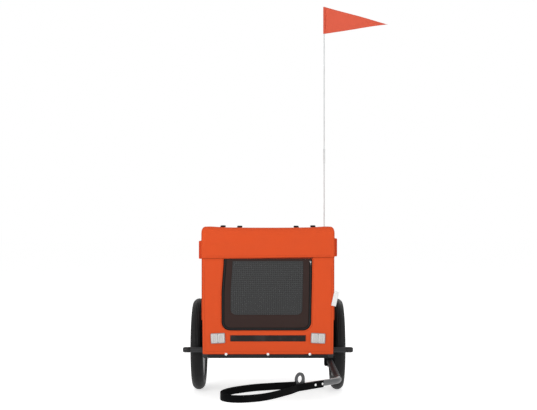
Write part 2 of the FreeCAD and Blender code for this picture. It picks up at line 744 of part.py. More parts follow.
def safety_strap(corner, heading, outward):
    """Webbing on edge, riveted along the tube and looped back on itself ahead of the hitch."""
    thick = size("strap_thickness")
    stand = size("tube_radius") + size("seat_gap") + thick
    seat_start = corner + heading * size("strap_start") + outward * stand
    seat_end = corner + heading * (size("hitch_run") + size("eye_width")) + outward * stand
    points = [seat_start, seat_end]
    for across, ahead in STRAP_LOOP_SHARES:
        points.append(seat_end + Vector(-across * size("strap_reach"), -ahead * size("strap_sweep"), 0))
    radii = []
    for before, middle, after in zip(points, points[1:], points[2:]):
        turn = (middle - before).getAngle(after - middle)
        shorter = min((middle - before).Length, (after - middle).Length)
        radii.append(STRAP_ROUNDING_SHARE * shorter / math.tan(turn / 2))
    line = rounded_wire(points, radii)
    band = line.makeOffset2D(thick, 0, True, True)
    low = size("strap_width") / 2
    solid = band.extrude(UP * size("strap_width"))
    solid.translate(UP * -low)
    piece = add("Part::Feature", "safety_strap")
    piece.Shape = solid
    node(piece)
    heads = []
    for number in range(2):
        along = size("strap_rivet_first") + number * size("strap_rivet_pitch")
        head = add("Part::Cylinder", f"strap_rivet_{number + 1}")
        bind(head, {"Radius": "strap_rivet_diameter / 2", "Height": "strap_rivet_height"})
        seat = corner + heading * along + outward * stand
        head.Placement = FreeCAD.Placement(seat, Rotation(UP, outward))
        heads.append(head)
    node(group("strap_rivets", heads))


def flag():
    """A fibreglass pole in a socket at the rear right corner, with its pennant."""
    post = cylinder("socket_post", "socket_radius", "socket_height",
                    ("pole_x", "pole_y", "socket_foot + socket_height / 2"))
    lug_height = "panel_bottom - seat_gap - socket_foot"
    lug = block("socket_lug", ("2 * socket_radius", "pole_y - base_y - tube_radius", lug_height),
                ("pole_x", "(pole_y + base_y + tube_radius) / 2", f"socket_foot + ({lug_height}) / 2"))
    bore = cylinder("socket_bore", "pole_radius + pole_gap", "socket_height",
                    ("pole_x", "pole_y", "pole_foot + socket_height / 2"))
    node(cut("flag_socket", fuse("socket_body", post, lug), bore))
    pole_length = "flag_top - pole_foot"
    node(cylinder("flag_pole", "pole_radius", pole_length,
                  ("pole_x", "pole_y", "(flag_top + pole_foot) / 2")))
    ferrule_at = ("pole_x", "pole_y", f"pole_foot + {FERRULE_HEIGHT_SHARE} * ({pole_length})")
    collar = cylinder("ferrule_tube", "ferrule_diameter / 2", "ferrule_length", ferrule_at)
    passage = cylinder("ferrule_bore", "pole_radius", "ferrule_length + 2 * overrun", ferrule_at)
    node(cut("pole_ferrule", collar, passage))
    wedge = add("Part::Wedge", "pennant_cloth")
    bind(wedge, {
        "Xmin": "0", "Xmax": "pennant_drop",
        "Ymin": "0", "Ymax": "pennant_length",
        "Zmin": "0", "Zmax": "pennant_thickness",
        "X2min": "pennant_tip_drop - pennant_thickness / 2",
        "X2max": "pennant_tip_drop + pennant_thickness / 2",
        "Z2min": "0", "Z2max": "pennant_thickness",
    })
    downwards = Rotation(Vector(0, 0, -1), Vector(1, 0, 0), Vector(0, -1, 0), "XYZ")
    place(wedge, ("pole_x", "pole_y + pennant_thickness / 2", "flag_top"), downwards)
    hem = cylinder("pennant_hem_tube", "pennant_hem / 2", "pennant_drop",
                   ("pole_x", "pole_y", "flag_top - pennant_drop / 2"))
    hem_bore = cylinder("pennant_bore", "pole_radius", "pennant_drop + 2 * overrun",
                        ("pole_x", "pole_y", "flag_top - pennant_drop / 2"))
    node(cut("flag_pennant", fuse("pennant_body", wedge, hem), hem_bore))


def check_and_write():
    doc.recompute()
    for piece in doc.Objects:
        if "Invalid" in piece.State or "Error" in piece.State:
            raise RuntimeError(f"{piece.Label} did not recompute: {piece.State}")
    os.makedirs("parts", exist_ok=True)
    for piece in NODES:
        shape = piece.Shape
        if shape.isNull() or not shape.isValid() or not shape.Solids:
            raise RuntimeError(f"{piece.Label} has no valid solid")
        shape.exportStep(f"parts/{piece.Label}.step")
    print(len(NODES), "nodes")


fill_sheets()
base_frame()
arches()
wheel_guards()
wheels()
cabin()
front_trim()
drawbar()
flag()
check_and_write()
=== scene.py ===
"""Looks of the dog bike trailer: fabric cabin, wheels, drawbar with its strap, and safety flag."""
import bpy
import math
from mathutils import Matrix, Vector, noise


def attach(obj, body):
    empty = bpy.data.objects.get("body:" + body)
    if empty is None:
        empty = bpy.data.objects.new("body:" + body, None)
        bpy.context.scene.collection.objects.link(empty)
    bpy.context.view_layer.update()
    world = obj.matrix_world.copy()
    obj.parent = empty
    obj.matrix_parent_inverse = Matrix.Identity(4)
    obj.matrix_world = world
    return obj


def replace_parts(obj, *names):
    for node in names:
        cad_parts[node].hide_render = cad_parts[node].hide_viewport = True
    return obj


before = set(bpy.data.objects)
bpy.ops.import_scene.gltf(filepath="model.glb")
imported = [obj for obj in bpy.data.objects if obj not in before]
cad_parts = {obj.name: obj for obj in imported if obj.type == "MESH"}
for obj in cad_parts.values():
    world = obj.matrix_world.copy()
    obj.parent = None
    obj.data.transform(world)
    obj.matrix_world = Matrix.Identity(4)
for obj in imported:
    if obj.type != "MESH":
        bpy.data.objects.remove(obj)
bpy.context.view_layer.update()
bpy.ops.object.select_all(action="DESELECT")
scene = bpy.context.scene
MM = 0.001


def alone(obj):
    """Makes one object the only one selected, and the active one."""
    bpy.ops.object.select_all(action="DESELECT")
    obj.select_set(True)
    bpy.context.view_layer.objects.active = obj
    return obj


def started(add, **settings):
    """A primitive added with nothing else selected."""
    bpy.ops.object.select_all(action="DESELECT")
    add(**settings)
    return bpy.context.object


def finished(obj, name, finish, body="chassis", angle=40):
    """Puts the object's place into its mesh, and sets its name, finish, shading and body."""
    alone(obj)
    bpy.ops.object.transform_apply(location=True, rotation=True, scale=True)
    obj.name = obj.data.name = name
    obj.data.materials.clear()
    obj.data.materials.append(finish)
    bpy.ops.object.shade_smooth_by_angle(angle=math.radians(angle))
    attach(obj, body)
    return obj


def modify(obj, kind, **settings):
    """Adds a modifier and applies it."""
    alone(obj)
    modifier = obj.modifiers.new(kind.lower(), kind)
    for key, value in settings.items():
        setattr(modifier, key, value)
    bpy.ops.object.modifier_apply(modifier=modifier.name)
    return obj


def thicken(obj, thickness, offset=-1.0):
    """Gives a sheet its thickness, in millimetres."""
    return modify(obj, "SOLIDIFY", thickness=thickness * MM, offset=offset, use_even_offset=False)


def open_edit(obj):
    """Opens an object in edit mode with all its points selected."""
    alone(obj)
    bpy.ops.object.mode_set(mode="EDIT")
    bpy.ops.mesh.select_mode(type="VERT")
    bpy.ops.mesh.select_all(action="SELECT")


def close_edit(obj):
    """Leaves edit mode."""
    bpy.ops.object.mode_set(mode="OBJECT")
    return obj


def tidied(obj, merge=0.005, outwards=True):
    """Merges doubled points and turns a closed piece's faces outwards."""
    open_edit(obj)
    bpy.ops.mesh.remove_doubles(threshold=merge * MM)
    if outwards:
        bpy.ops.mesh.normals_make_consistent(inside=False)
    return close_edit(obj)


def joined(objs, name):
    """Several pieces of one body as one object."""
    alone(objs[0])
    for obj in objs:
        obj.select_set(True)
    bpy.ops.object.join()
    objs[0].name = objs[0].data.name = name
    return objs[0]


def copied(obj, name, moves):
    """One piece repeated by a list of matrices, each copy with its own mesh, then joined."""
    twins = [obj]
    for move in moves[1:]:
        twin = obj.copy()
        twin.data = obj.data.copy()
        twin.data.transform(move)
        scene.collection.objects.link(twin)
        twins.append(twin)
    obj.data.transform(moves[0])
    return joined(twins, name)


def slab(size, centre, turn=(0, 0, 0)):
    """A cube at its size and place, in millimetres, to be shaped."""
    place = Vector(centre) * MM
    obj = started(bpy.ops.mesh.primitive_cube_add, size=1, location=place, rotation=turn)
    bpy.ops.transform.resize(value=Vector(size) * MM, orient_type="LOCAL")
    bpy.ops.object.transform_apply(location=False, rotation=False, scale=True)
    return obj


def pick(obj, kind, test):
    """Selects, in edit mode, the faces or edges whose middle and direction pass a test."""
    alone(obj)
    bpy.ops.object.mode_set(mode="EDIT")
    bpy.ops.mesh.select_mode(type=kind)
    bpy.ops.mesh.select_all(action="DESELECT")
    bpy.ops.object.mode_set(mode="OBJECT")
    mesh = obj.data
    if kind == "FACE":
        for face in mesh.polygons:
            face.select = test(face.center, face.normal)
    else:
        for edge in mesh.edges:
            a, b = (mesh.vertices[k].co for k in edge.vertices)
            edge.select = test((a + b) / 2, (b - a).normalized())
    bpy.ops.object.mode_set(mode="EDIT")


def bevelled(obj, test, width, segments):
    """Rounds the edges that pass a test."""
    pick(obj, "EDGE", test)
    bpy.ops.mesh.bevel(offset=width * MM, segments=segments)
    return close_edit(obj)


def inset_face(obj, test, width, step):
    """Insets the faces that pass a test and moves what is inside by a step."""
    pick(obj, "FACE", test)
    bpy.ops.mesh.inset(thickness=width * MM)
    bpy.ops.transform.translate(value=Vector(step) * MM)
    return close_edit(obj)


def moulding(size, centre, sign, corner, rim=None, inset=None, turn=(0, 0, 0)):
    """A block that looks along Y: its corners and front rim are rounded by (width, segments), and
    its front is inset and moved by (width, step)."""
    obj = slab(size, centre, turn)
    front = sign * size[1] / 2 * MM
    bevelled(obj, lambda mid, way: abs(way.y) > 0.9, *corner)
    if rim:
        bevelled(obj, lambda mid, way: abs(mid.y - front) < 1e-5, *rim)
    if inset:
        inset_face(obj, lambda mid, way: way.y * sign > 0.9, inset[0], (0, sign * inset[1], 0))
    return obj


def grid(columns, rows):
    """A flat grid with that many points each way."""
    return started(bpy.ops.mesh.primitive_grid_add, size=1, x_subdivisions=columns - 1,
                   y_subdivisions=rows - 1)


def cloth(name, columns, rows, point, uv, finish, body="chassis", seamed=False):
    """A grid laid out as cloth by point(s, t), with s and t from 0 to 1 and uv(s, t) in metres."""
    obj = grid(columns, rows)
    mesh = obj.data
    shares = [(round(v.co.x + 0.5, 5), round(v.co.y + 0.5, 5)) for v in mesh.vertices]
    layer = mesh.uv_layers.active.data
    for corner in mesh.loops:
        layer[corner.index].uv = uv(*shares[corner.vertex_index])
    for vertex, share in zip(mesh.vertices, shares):
        vertex.co = Vector(point(*share)) * MM
    mesh.update()
    if seamed:
        tidied(obj, 0.002, False)
    return finished(obj, name, finish, body, 75)


def spread(width, height):
    """UVs of a plain piece of cloth of that size, in metres."""
    return lambda s, t: (width * s, height * t)


def ring_cloth(name, inner, outer, rows, point, finish, body="chassis"):
    """Cloth between two loops of (x, z) points; point(x, z, share) gives the place in space."""
    count = len(inner)

    def between(s, t):
        (x0, z0), (x1, z1) = (loop[round(s * count) % count] for loop in (inner, outer))
        return x0 + (x1 - x0) * t, z0 + (z1 - z0) * t

    return cloth(name, count + 1, rows, lambda s, t: point(*between(s, t), t),
                 lambda s, t: [c * MM for c in between(s, t)], finish, body, seamed=True)


def curve(points, closed):
    """A curve drawn straight from point to point."""
    obj = started(bpy.ops.curve.primitive_nurbs_path_add, location=(0, 0, 0))
    obj.data.splines.clear()
    run = obj.data.splines.new("POLY")
    run.points.add(len(points) - 1)
    for spot, place in zip(run.points, points):
        spot.co = (*place, 1.0)
    run.use_cyclic_u = closed
    return obj


def strip(name, path, section, finish, body="chassis", up=(0, 0, 1), closed=False):
    """A band or cord with a section of (across, up) points: a bevelled curve made a mesh."""
    up = Vector(up).normalized()
    side = up.orthogonal().normalized()
    turn = Matrix((side, up.cross(side), up)).transposed()
    back = turn.inverted()
    path = [Vector(p) for p in path]
    profile = curve([(a * MM, b * MM, 0) for a, b in section], True)
    obj = curve([(back @ p) * MM for p in path], closed)
    obj.data.dimensions, obj.data.twist_mode = "3D", "Z_UP"
    obj.data.bevel_mode, obj.data.bevel_object = "OBJECT", profile
    obj.data.use_fill_caps = not closed
    alone(obj)
    bpy.ops.object.convert(target="MESH")
    obj = bpy.context.object
    bpy.data.objects.remove(profile)
    lay_out_strip(obj.data, path, section, closed)
    obj.matrix_world = turn.to_4x4()
    return finished(tidied(obj), name, finish, body)


def lay_out_strip(mesh, path, section, closed):
    """UVs of a strip in metres: round its section, and along its path."""
    n, count = len(section), len(path)
    around, along = [0.0], [0.0]
    for a, b in zip(section, section[1:] + section[:1]):
        around.append(around[-1] + math.dist(a, b))
    for a, b in zip(path, path[1:] + path[:1]):
        along.append(along[-1] + (b - a).length)
    layer = mesh.uv_layers.active.data
    for face in mesh.polygons:
        spots = [divmod(mesh.loops[k].vertex_index, n) for k in face.loop_indices]
        if max(ring for ring, _ in spots) >= count:
            continue
        wraps = {k for _, k in spots} >= {0, n - 1}
        laps = closed and {ring for ring, _ in spots} >= {0, count - 1}
        for index, (ring, k) in zip(face.loop_indices, spots):
            u = around[n if wraps and k == 0 else k]
            v = along[count if laps and ring == 0 else ring]
            layer[index].uv = (u * MM, v * MM)


def circle(radius, count):
    """A round section."""
    turns = [2 * math.pi * k / count for k in range(count)]
    return [(radius * math.cos(a), radius * math.sin(a)) for a in turns]


def pill(width, height, edge=0.45):
    """A flat section with round edges, width across and height up."""
    r, count = min(width, height) * edge, 4
    points = []
    for k, (x, y) in enumerate(((1, 1), (-1, 1), (-1, -1), (1, -1))):
        across, up = x * (width / 2 - r), y * (height / 2 - r)
        for j in range(count + 1):
            a = math.pi / 2 * (k + j / count)
            points.append((across + r * math.cos(a), up + r * math.sin(a)))
    return points


def turned(name, profile, centre, finish, count=96, axis=(1, 0, 0), body="chassis"):
    """A profile of (along, radius) points, drawn by extruding one point and spun about an axis."""
    axis = Vector(axis).normalized()
    side = axis.orthogonal().normalized()
    centre = Vector(centre)
    spots = [(centre + axis * along + side * radius) * MM for along, radius in profile]
    obj = started(bpy.ops.mesh.primitive_plane_add, size=MM)
    open_edit(obj)
    bpy.ops.mesh.merge(type="CENTER")
    bpy.ops.transform.translate(value=spots[0])
    poles = profile[0][1] == profile[-1][1] == 0
    for a, b in zip(spots, spots[1:] if poles else spots[1:] + spots[:1]):
        bpy.ops.mesh.extrude_region_move(TRANSFORM_OT_translate={"value": b - a})
    bpy.ops.mesh.select_all(action="SELECT")
    bpy.ops.mesh.spin(steps=count, angle=2 * math.pi, center=centre * MM, axis=axis)
    return finished(tidied(close_edit(obj)), name, finish, body)


def mirrored(profile, way):
    """A profile of (along, radius) points as it is, or with a way of -1 at the axis's other end."""
    return [(way * along, radius) for along, radius in profile]


def rounded_loop(x0, x1, z0, z1, radius, per_side, top=None):
    """Points round a rounded rectangle from mid-arc at the lower left, with equal counts a side."""
    top = radius if top is None else top
    corners = [(x0 + radius, z0 + radius, math.pi, radius),
               (x1 - radius, z0 + radius, math.pi * 1.5, radius),
               (x1 - top, z1 - top, 0.0, top), (x0 + top, z1 - top, math.pi / 2, top)]

    def on_arc(x, z, turn, reach):
        return x + reach * math.cos(turn), z + reach * math.sin(turn)

    loop = []
    for k in range(4):
        ax, az, start, ra = corners[k]
        bx, bz, after, rb = corners[(k + 1) % 4]
        leave, enter = on_arc(ax, az, start + math.pi / 2, ra), on_arc(bx, bz, after, rb)
        first, straight = ra * math.pi / 4, math.dist(leave, enter)
        total = first + straight + rb * math.pi / 4
        for j in range(per_side):
            d = total * j / per_side
            if d < first:
                loop.append(on_arc(ax, az, start + math.pi / 4 + d / ra, ra))
            elif d < first + straight:
                share = (d - first) / straight
                loop.append(tuple(a + (b - a) * share for a, b in zip(leave, enter)))
            else:
                loop.append(on_arc(bx, bz, after + (d - first - straight) / rb, rb))
    return loop


def u_path(x0, x1, z0, z1, radius):
    """Points down one side, round the foot and up the other side of a door."""
    step, turn = 6.0, int(radius * math.pi / 2 / 3)
    arc = [(radius * math.cos(math.pi / 2 * k / turn), radius * math.sin(math.pi / 2 * k / turn))
           for k in range(turn + 1)]
    down, along = int((z1 - z0 - radius) / step), int((x1 - x0 - 2 * radius) / step)
    return ([(x0, z1 - k * step) for k in range(down)]
            + [(x0 + radius - c, z0 + radius - s) for c, s in arc]
            + [(x0 + radius + k * step, z0) for k in range(1, along)]
            + [(x1 - radius + s, z0 + radius - c) for c, s in arc]
            + [(x1, z0 + radius + k * step) for k in range(1, down)])


def smooth_step(low, high, value):
    """0 up to low, 1 from high on, with a soft change between."""
    t = min(1.0, max(0.0, (value - low) / (high - low)))
    return t * t * (3 - 2 * t)


def crumple(x, y, z, size, depth, seed=0.0):
    """Gentle folds of stretched cloth: smooth noise of a given size and depth."""
    return depth * noise.noise(Vector((x / size + seed, y / size - seed, z / size + 2 * seed)))


def material(name, colour, roughness, metallic=0.0, **sockets):
    """A plain finish. More of the shader's sockets are given by name, with _ for a space."""
    made = bpy.data.materials.new(name)
    made.use_nodes = True
    inputs = made.node_tree.nodes["Principled BSDF"].inputs
    inputs["Base Color"].default_value = (*colour, 1.0)
    inputs["Roughness"].default_value = roughness
    inputs["Metallic"].default_value = metallic
    for key, value in sockets.items():
        inputs[key.replace("_", " ")].default_value = value
    return made


class Nodes:
    """Short calls for building the node tree of a material or the world."""

    def __init__(self, made, shader="Principled BSDF"):
        self.tree = made.node_tree
        self.shader = self.tree.nodes[shader]

    def feed(self, socket, value):
        """Links a node's output to a socket, or sets the socket to a number or a colour."""
        if isinstance(value, bpy.types.NodeSocket):
            self.tree.links.new(value, socket)
        else:
            socket.default_value = (*value, 1.0) if socket.type == "RGBA" else value

    def add(self, kind, inputs, **settings):
        """A node's outputs; its inputs are given by name or number."""
        node = self.tree.nodes.new(kind)
        for key, value in settings.items():
            setattr(node, key, value)
        for key, value in inputs.items():
            self.feed(node.inputs[key], value)
        return node.outputs

    def into(self, socket, value):
        self.feed(self.shader.inputs[socket], value)

    def coordinates(self, which="Object", scale=(1, 1, 1)):
        source = self.add("ShaderNodeTexCoord", {})
        return self.add("ShaderNodeMapping", {"Vector": source[which], "Scale": scale})["Vector"]

    def axes(self, vector):
        return self.add("ShaderNodeSeparateXYZ", {0: vector})

    def noise(self, vector, scale, detail=3.0, rough=0.55):
        inputs = {"Vector": vector, "Scale": scale, "Detail": detail, "Roughness": rough}
        return self.add("ShaderNodeTexNoise", inputs)["Fac"]

    def wave(self, vector, scale, direction, distortion=0.0):
        inputs = {"Vector": vector, "Scale": scale, "Distortion": distortion}
        return self.add("ShaderNodeTexWave", inputs, bands_direction=direction)["Fac"]

    def math(self, operation, *values):
        return self.add("ShaderNodeMath", dict(enumerate(values)), operation=operation)[0]

    def ramp(self, factor, stops):
        node = self.tree.nodes.new("ShaderNodeValToRGB")
        while len(node.color_ramp.elements) < len(stops):
            node.color_ramp.elements.new(0.5)
        for element, (place, colour) in zip(node.color_ramp.elements, stops):
            element.position = place
            element.color = (*colour, 1.0)
        self.feed(node.inputs["Fac"], factor)
        return node.outputs["Color"]

    def span(self, factor, low, high, from_low=0.0, from_high=1.0):
        inputs = {"Value": factor, "From Min": from_low, "From Max": from_high,
                  "To Min": low, "To Max": high}
        return self.add("ShaderNodeMapRange", inputs)["Result"]

    def mix(self, factor, a, b):
        """A mix of two colours: inputs 6 and 7 and output 2 are the node's colour ones."""
        return self.add("ShaderNodeMix", {0: factor, 6: a, 7: b}, data_type="RGBA")[2]

    def bump(self, height, strength, distance):
        inputs = {"Height": height, "Strength": strength, "Distance": distance}
        self.into("Normal", self.add("ShaderNodeBump", inputs)["Normal"])


def tint(colour, times, more=0.0):
    """A darker or lighter colour."""
    return tuple(min(1.0, c * times + more) for c in colour)


# How wide one band of a wave texture is at scale 1.
BANDS = 0.314


def woven(name, colour, thread, roughness, shade, sheen, foot_darkening=0.0):
    """Plain-woven cloth: threads over and under on the UV grid, with slight mottling."""
    made = material(name, colour, roughness, Sheen_Weight=sheen, Sheen_Roughness=0.45,
                    Specular_IOR_Level=0.18)
    n = Nodes(made)
    n.into("Sheen Tint", colour)
    uv = n.coordinates("UV")
    weave = n.math("MAXIMUM", *(n.wave(uv, BANDS / thread, way, 0.4) for way in "XY"))
    where = n.coordinates()
    spots = n.noise(where, 14.0, 4.0)
    cloud = n.noise(where, 2.6, 2.0)
    mottle = n.math("MULTIPLY_ADD", spots, 0.5, n.math("MULTIPLY", cloud, 0.5))
    tone = n.mix(mottle, tint(colour, 1 - shade), tint(colour, 1 + shade * 0.6))
    # Painted shade between the threads: the colour darkens where the weave dips.
    tone = n.mix(n.span(weave, 0.18, 0.0), tone, tint(colour, 0.45))
    # The cloth is made darker towards its foot: fully by the given share at 0.19 m and below,
    # fading out by 0.30 m.
    if foot_darkening:
        low = n.span(n.axes(where)["Z"], foot_darkening, 0.0, 0.19, 0.30)
        tone = n.mix(low, tone, tint(colour, 0.55))
    n.into("Base Color", tone)
    n.into("Roughness", n.span(spots, roughness - 0.08, min(1.0, roughness + 0.12)))
    n.bump(n.math("MULTIPLY_ADD", cloud, 0.6, weave), 0.35, thread * 0.3)
    return made


def open_mesh(name, colour, pitch, thread_share):
    """Netting: square holes on the UV grid, partly seen through; every fifth thread is heavier."""
    made = material(name, colour, 0.6, Specular_IOR_Level=0.35)
    n = Nodes(made)
    uv = n.axes(n.coordinates("UV", (1 / pitch, 1 / pitch, 1)))
    hole = n.math("MINIMUM", *(n.math("PINGPONG", uv[way], 0.5) for way in "XY"))
    thread = n.math("LESS_THAN", hole, thread_share * 0.5)
    n.into("Alpha", n.math("MULTIPLY_ADD", thread, 0.45, 0.55))
    tone = n.mix(n.noise(n.coordinates(), 9.0), tint(colour, 0.75), tint(colour, 1.25))
    plain = n.coordinates("UV")
    rib = n.math("MAXIMUM", *(n.wave(plain, BANDS / (5 * pitch), way) for way in "XY"))
    n.into("Base Color", n.mix(n.span(rib, 0.0, 0.9, 0.7, 0.98), tone, tint(colour, 3.0)))
    n.bump(n.math("MULTIPLY", hole, -1.0), 0.5, pitch * 0.25)
    return made


def webbing(name, colour):
    """Strap webbing: ribs across, a fine chevron, worn lighter here and there."""
    made = material(name, colour, 0.7, Specular_IOR_Level=0.03)
    n = Nodes(made)
    uv, pitch = n.coordinates("UV"), 0.0022
    ribs = n.wave(uv, BANDS / pitch, "Y")
    weave = n.math("MULTIPLY_ADD", n.wave(uv, 0.45 / pitch, "DIAGONAL"), 0.5, ribs)
    worn = n.noise(n.coordinates(), 22.0, 4.0)
    tone = n.mix(n.span(worn, 0.0, 0.8, 0.45, 0.75), colour, tint(colour, 1.9, 0.0025))
    # Painted shade in the grooves between the ribs and the chevron: the colour darkens where the
    # weave dips.
    n.into("Base Color", n.mix(n.span(weave, 0.45, 0.0, 0.0, 1.2), tone, tint(colour, 0.35)))
    n.into("Roughness", n.span(worn, 0.58, 0.82))
    n.bump(weave, 0.45, 0.0004)
    return made


def coated(name, colour, roughness, chips, gloss=0.22):
    """Powder-coated metal: a fine orange peel, dulled patches and a few chips."""
    made = material(name, colour, roughness, Coat_Weight=0.03, Coat_Roughness=0.35,
                    Specular_IOR_Level=gloss)
    n = Nodes(made)
    where = n.coordinates()
    patches = n.noise(where, 11.0, 5.0)
    tone = n.mix(patches, tint(colour, 0.8), tint(colour, 1.25))
    scuff = n.span(n.noise(where, 46.0, 6.0, 0.7), 0.0, chips, 0.66, 0.74)
    n.into("Base Color", n.mix(scuff, tone, (0.18, 0.175, 0.17)))
    n.into("Roughness", n.span(patches, roughness - 0.07, roughness + 0.1))
    n.bump(n.noise(where, 260.0, 2.0), 0.08, 0.0006)
    return made


def bare_metal(name, colour, roughness, stretch=(1, 1, 1), lines=0.06):
    """Drawn, turned or plated metal: fine lines along one way and cloudy roughness."""
    made = material(name, colour, roughness, 1.0)
    n = Nodes(made)
    brushed = n.noise(n.coordinates("Object", stretch), 420.0)
    cloud = n.noise(n.coordinates(), 17.0, 4.0)
    n.into("Base Color", n.mix(cloud, tint(colour, 0.86), tint(colour, 1.08)))
    cloudy = n.span(cloud, roughness - 0.12, roughness + 0.04)
    n.into("Roughness", n.math("MULTIPLY_ADD", brushed, 0.14, cloudy))
    n.bump(brushed, lines, 0.0004)
    return made


def rubber(name, colour):
    """Tyre rubber: dull, dusty in patches, with fine moulded grain."""
    made = material(name, colour, 0.55, Specular_IOR_Level=0.17)
    n = Nodes(made)
    where = n.coordinates()
    dust = n.noise(where, 19.0, 6.0, 0.65)
    n.into("Base Color", n.mix(n.span(dust, 0.0, 0.6, 0.48, 0.8), colour, tint(colour, 2.0, 0.006)))
    n.into("Roughness", n.span(dust, 0.40, 0.70))
    n.bump(n.noise(where, 900.0, 2.0), 0.12, 0.0005)
    return made


def prism_lens(name, colour, rough=0.16, coat=0.9):
    """A moulded reflector lens: small pyramids behind clear plastic."""
    made = material(name, colour, rough, Coat_Weight=coat, Coat_Roughness=0.05,
                    Specular_IOR_Level=0.4)
    n = Nodes(made)
    spot = n.axes(n.coordinates())
    rate = math.sqrt(0.5) / 0.0045
    diagonals = [n.math(way, spot["X"], spot["Z"]) for way in ("ADD", "SUBTRACT")]
    slopes = [n.math("PINGPONG", n.math("MULTIPLY", run, rate), 0.5) for run in diagonals]
    height = n.math("ADD", *slopes)
    # Painted shade and highlight of the prisms: their hollows are darkened and their tips
    # lightened.
    stops = [(0.05, tint(colour, 0.62)), (0.5, colour), (0.95, tint(colour, 1.15))]
    n.into("Base Color", n.ramp(height, stops))
    n.bump(height, 0.6, 0.0012)
    return made


def moulded(name, colour, roughness, grain=700.0):
    """Injection-moulded plastic: fine spark-eroded grain and slight gloss changes."""
    made = material(name, colour, roughness, Specular_IOR_Level=0.3)
    n = Nodes(made)
    where = n.coordinates()
    cloud = n.noise(where, 30.0)
    n.into("Base Color", n.mix(cloud, tint(colour, 0.85), tint(colour, 1.12)))
    n.into("Roughness", n.span(cloud, roughness - 0.08, roughness + 0.1))
    n.bump(n.noise(where, grain, 2.0), 0.1, 0.0004)
    return made


def ply(name):
    """A dark film-faced plywood floor with a faint grain."""
    made = material(name, (0.05, 0.032, 0.02), 0.5)
    n = Nodes(made)
    grain = n.noise(n.coordinates("Object", (14, 1.2, 14)), 16.0, 6.0, 0.6)
    stops = [(0.3, (0.028, 0.017, 0.011)), (0.7, (0.075, 0.046, 0.028))]
    n.into("Base Color", n.ramp(grain, stops))
    n.into("Roughness", n.span(grain, 0.4, 0.62))
    n.bump(grain, 0.1, 0.0004)
    return made


def fleece(name, colour):
    """Brushed mat cloth: short soft pile with cloudy shading."""
    made = material(name, colour, 0.95, Sheen_Weight=0.6, Sheen_Roughness=0.6)
    n = Nodes(made)
    where = n.coordinates()
    pile = n.noise(where, 380.0, 4.0, 0.7)
    cloud = n.math("MULTIPLY", n.noise(where, 16.0, 4.0), 0.6)
    shade = n.math("MULTIPLY_ADD", pile, 0.4, cloud)
    n.into("Base Color", n.mix(shade, tint(colour, 0.6), tint(colour, 1.45)))
    n.bump(pile, 0.6, 0.0012)
    return made


ORANGE = (0.71, 0.082, 0.018)
orange = woven("orange_polyester", ORANGE, 0.0012, 0.78, 0.10, 0.05, foot_darkening=0.1)
orange_trim = woven("orange_seam", tint(ORANGE, 0.72), 0.0008, 0.8, 0.12, 0.2)
flag_cloth = woven("flag_nylon", (0.74, 0.115, 0.062), 0.0008, 0.6, 0.06, 0.35)
black_cloth = woven("black_polyester", (0.010, 0.010, 0.0104), 0.0012, 0.8, 0.3, 0.05)
binding = woven("door_binding", (0.032, 0.0175, 0.015), 0.0009, 0.74, 0.22, 0.04)
netting = open_mesh("black_netting", (0.0105, 0.0108, 0.0111), 0.0016, 0.76)
strap_black = webbing("black_webbing", (0.0022, 0.0022, 0.0024))
strap_grey = webbing("charcoal_webbing", (0.030, 0.026, 0.025))
black_paint = coated("black_powder_coat", (0.005, 0.0051, 0.0054), 0.55, chips=0.12)
guard_paint = coated("guard_powder_coat", (0.028, 0.0285, 0.030), 0.46, chips=0.3)
drawbar_paint = coated("drawbar_powder_coat", (0.005, 0.005, 0.0055), 0.62, chips=0.12, gloss=0.08)
silver_tube = bare_metal("silver_tube", (0.13, 0.132, 0.134), 0.38, (1, 1, 0.05))
rim_metal = bare_metal("rim_steel", (0.62, 0.625, 0.63), 0.30)
spoke_metal = bare_metal("spoke_steel", (0.68, 0.68, 0.68), 0.28)
hub_metal = bare_metal("hub_alloy", (0.50, 0.505, 0.51), 0.33)
plated = bare_metal("zinc_plate", (0.44, 0.445, 0.45), 0.40, lines=0.1)
eye_metal = bare_metal("eye_plate_steel", (0.085, 0.087, 0.09), 0.46, lines=0.12)
zip_metal = bare_metal("zip_nickel", (0.30, 0.296, 0.29), 0.34)
tyre_black = rubber("tyre_rubber", (0.0072, 0.0072, 0.0075))
lens_clear = prism_lens("clear_lens", (0.64, 0.62, 0.61))
lens_red = prism_lens("red_lens", (0.42, 0.008, 0.007), 0.3, 0.25)
lens_frame = moulded("lens_frame", (0.36, 0.36, 0.36), 0.38)
white_paint = moulded("rivet_enamel", (0.86, 0.86, 0.85), 0.3)
pole_white = moulded("fibreglass_white", (0.70, 0.73, 0.73), 0.4, 300.0)
black_plastic = moulded("black_nylon", (0.012, 0.012, 0.0125), 0.42)
zip_tape = woven("zip_tape", (0.0025, 0.0022, 0.0022), 0.0007, 0.85, 0.2, 0.0)
zip_coil = moulded("zip_coil", (0.002, 0.002, 0.002), 0.7)
floor_ply = ply("floor_plywood")
mat_cloth = fleece("mat_fleece", (0.075, 0.077, 0.082))
white_tape = woven("white_tape", (0.82, 0.82, 0.81), 0.0006, 0.8, 0.05, 0.1)
thread_orange = moulded("orange_thread", tint(ORANGE, 0.55), 0.7)
thread_black = moulded("black_thread", (0.02, 0.02, 0.02), 0.7)

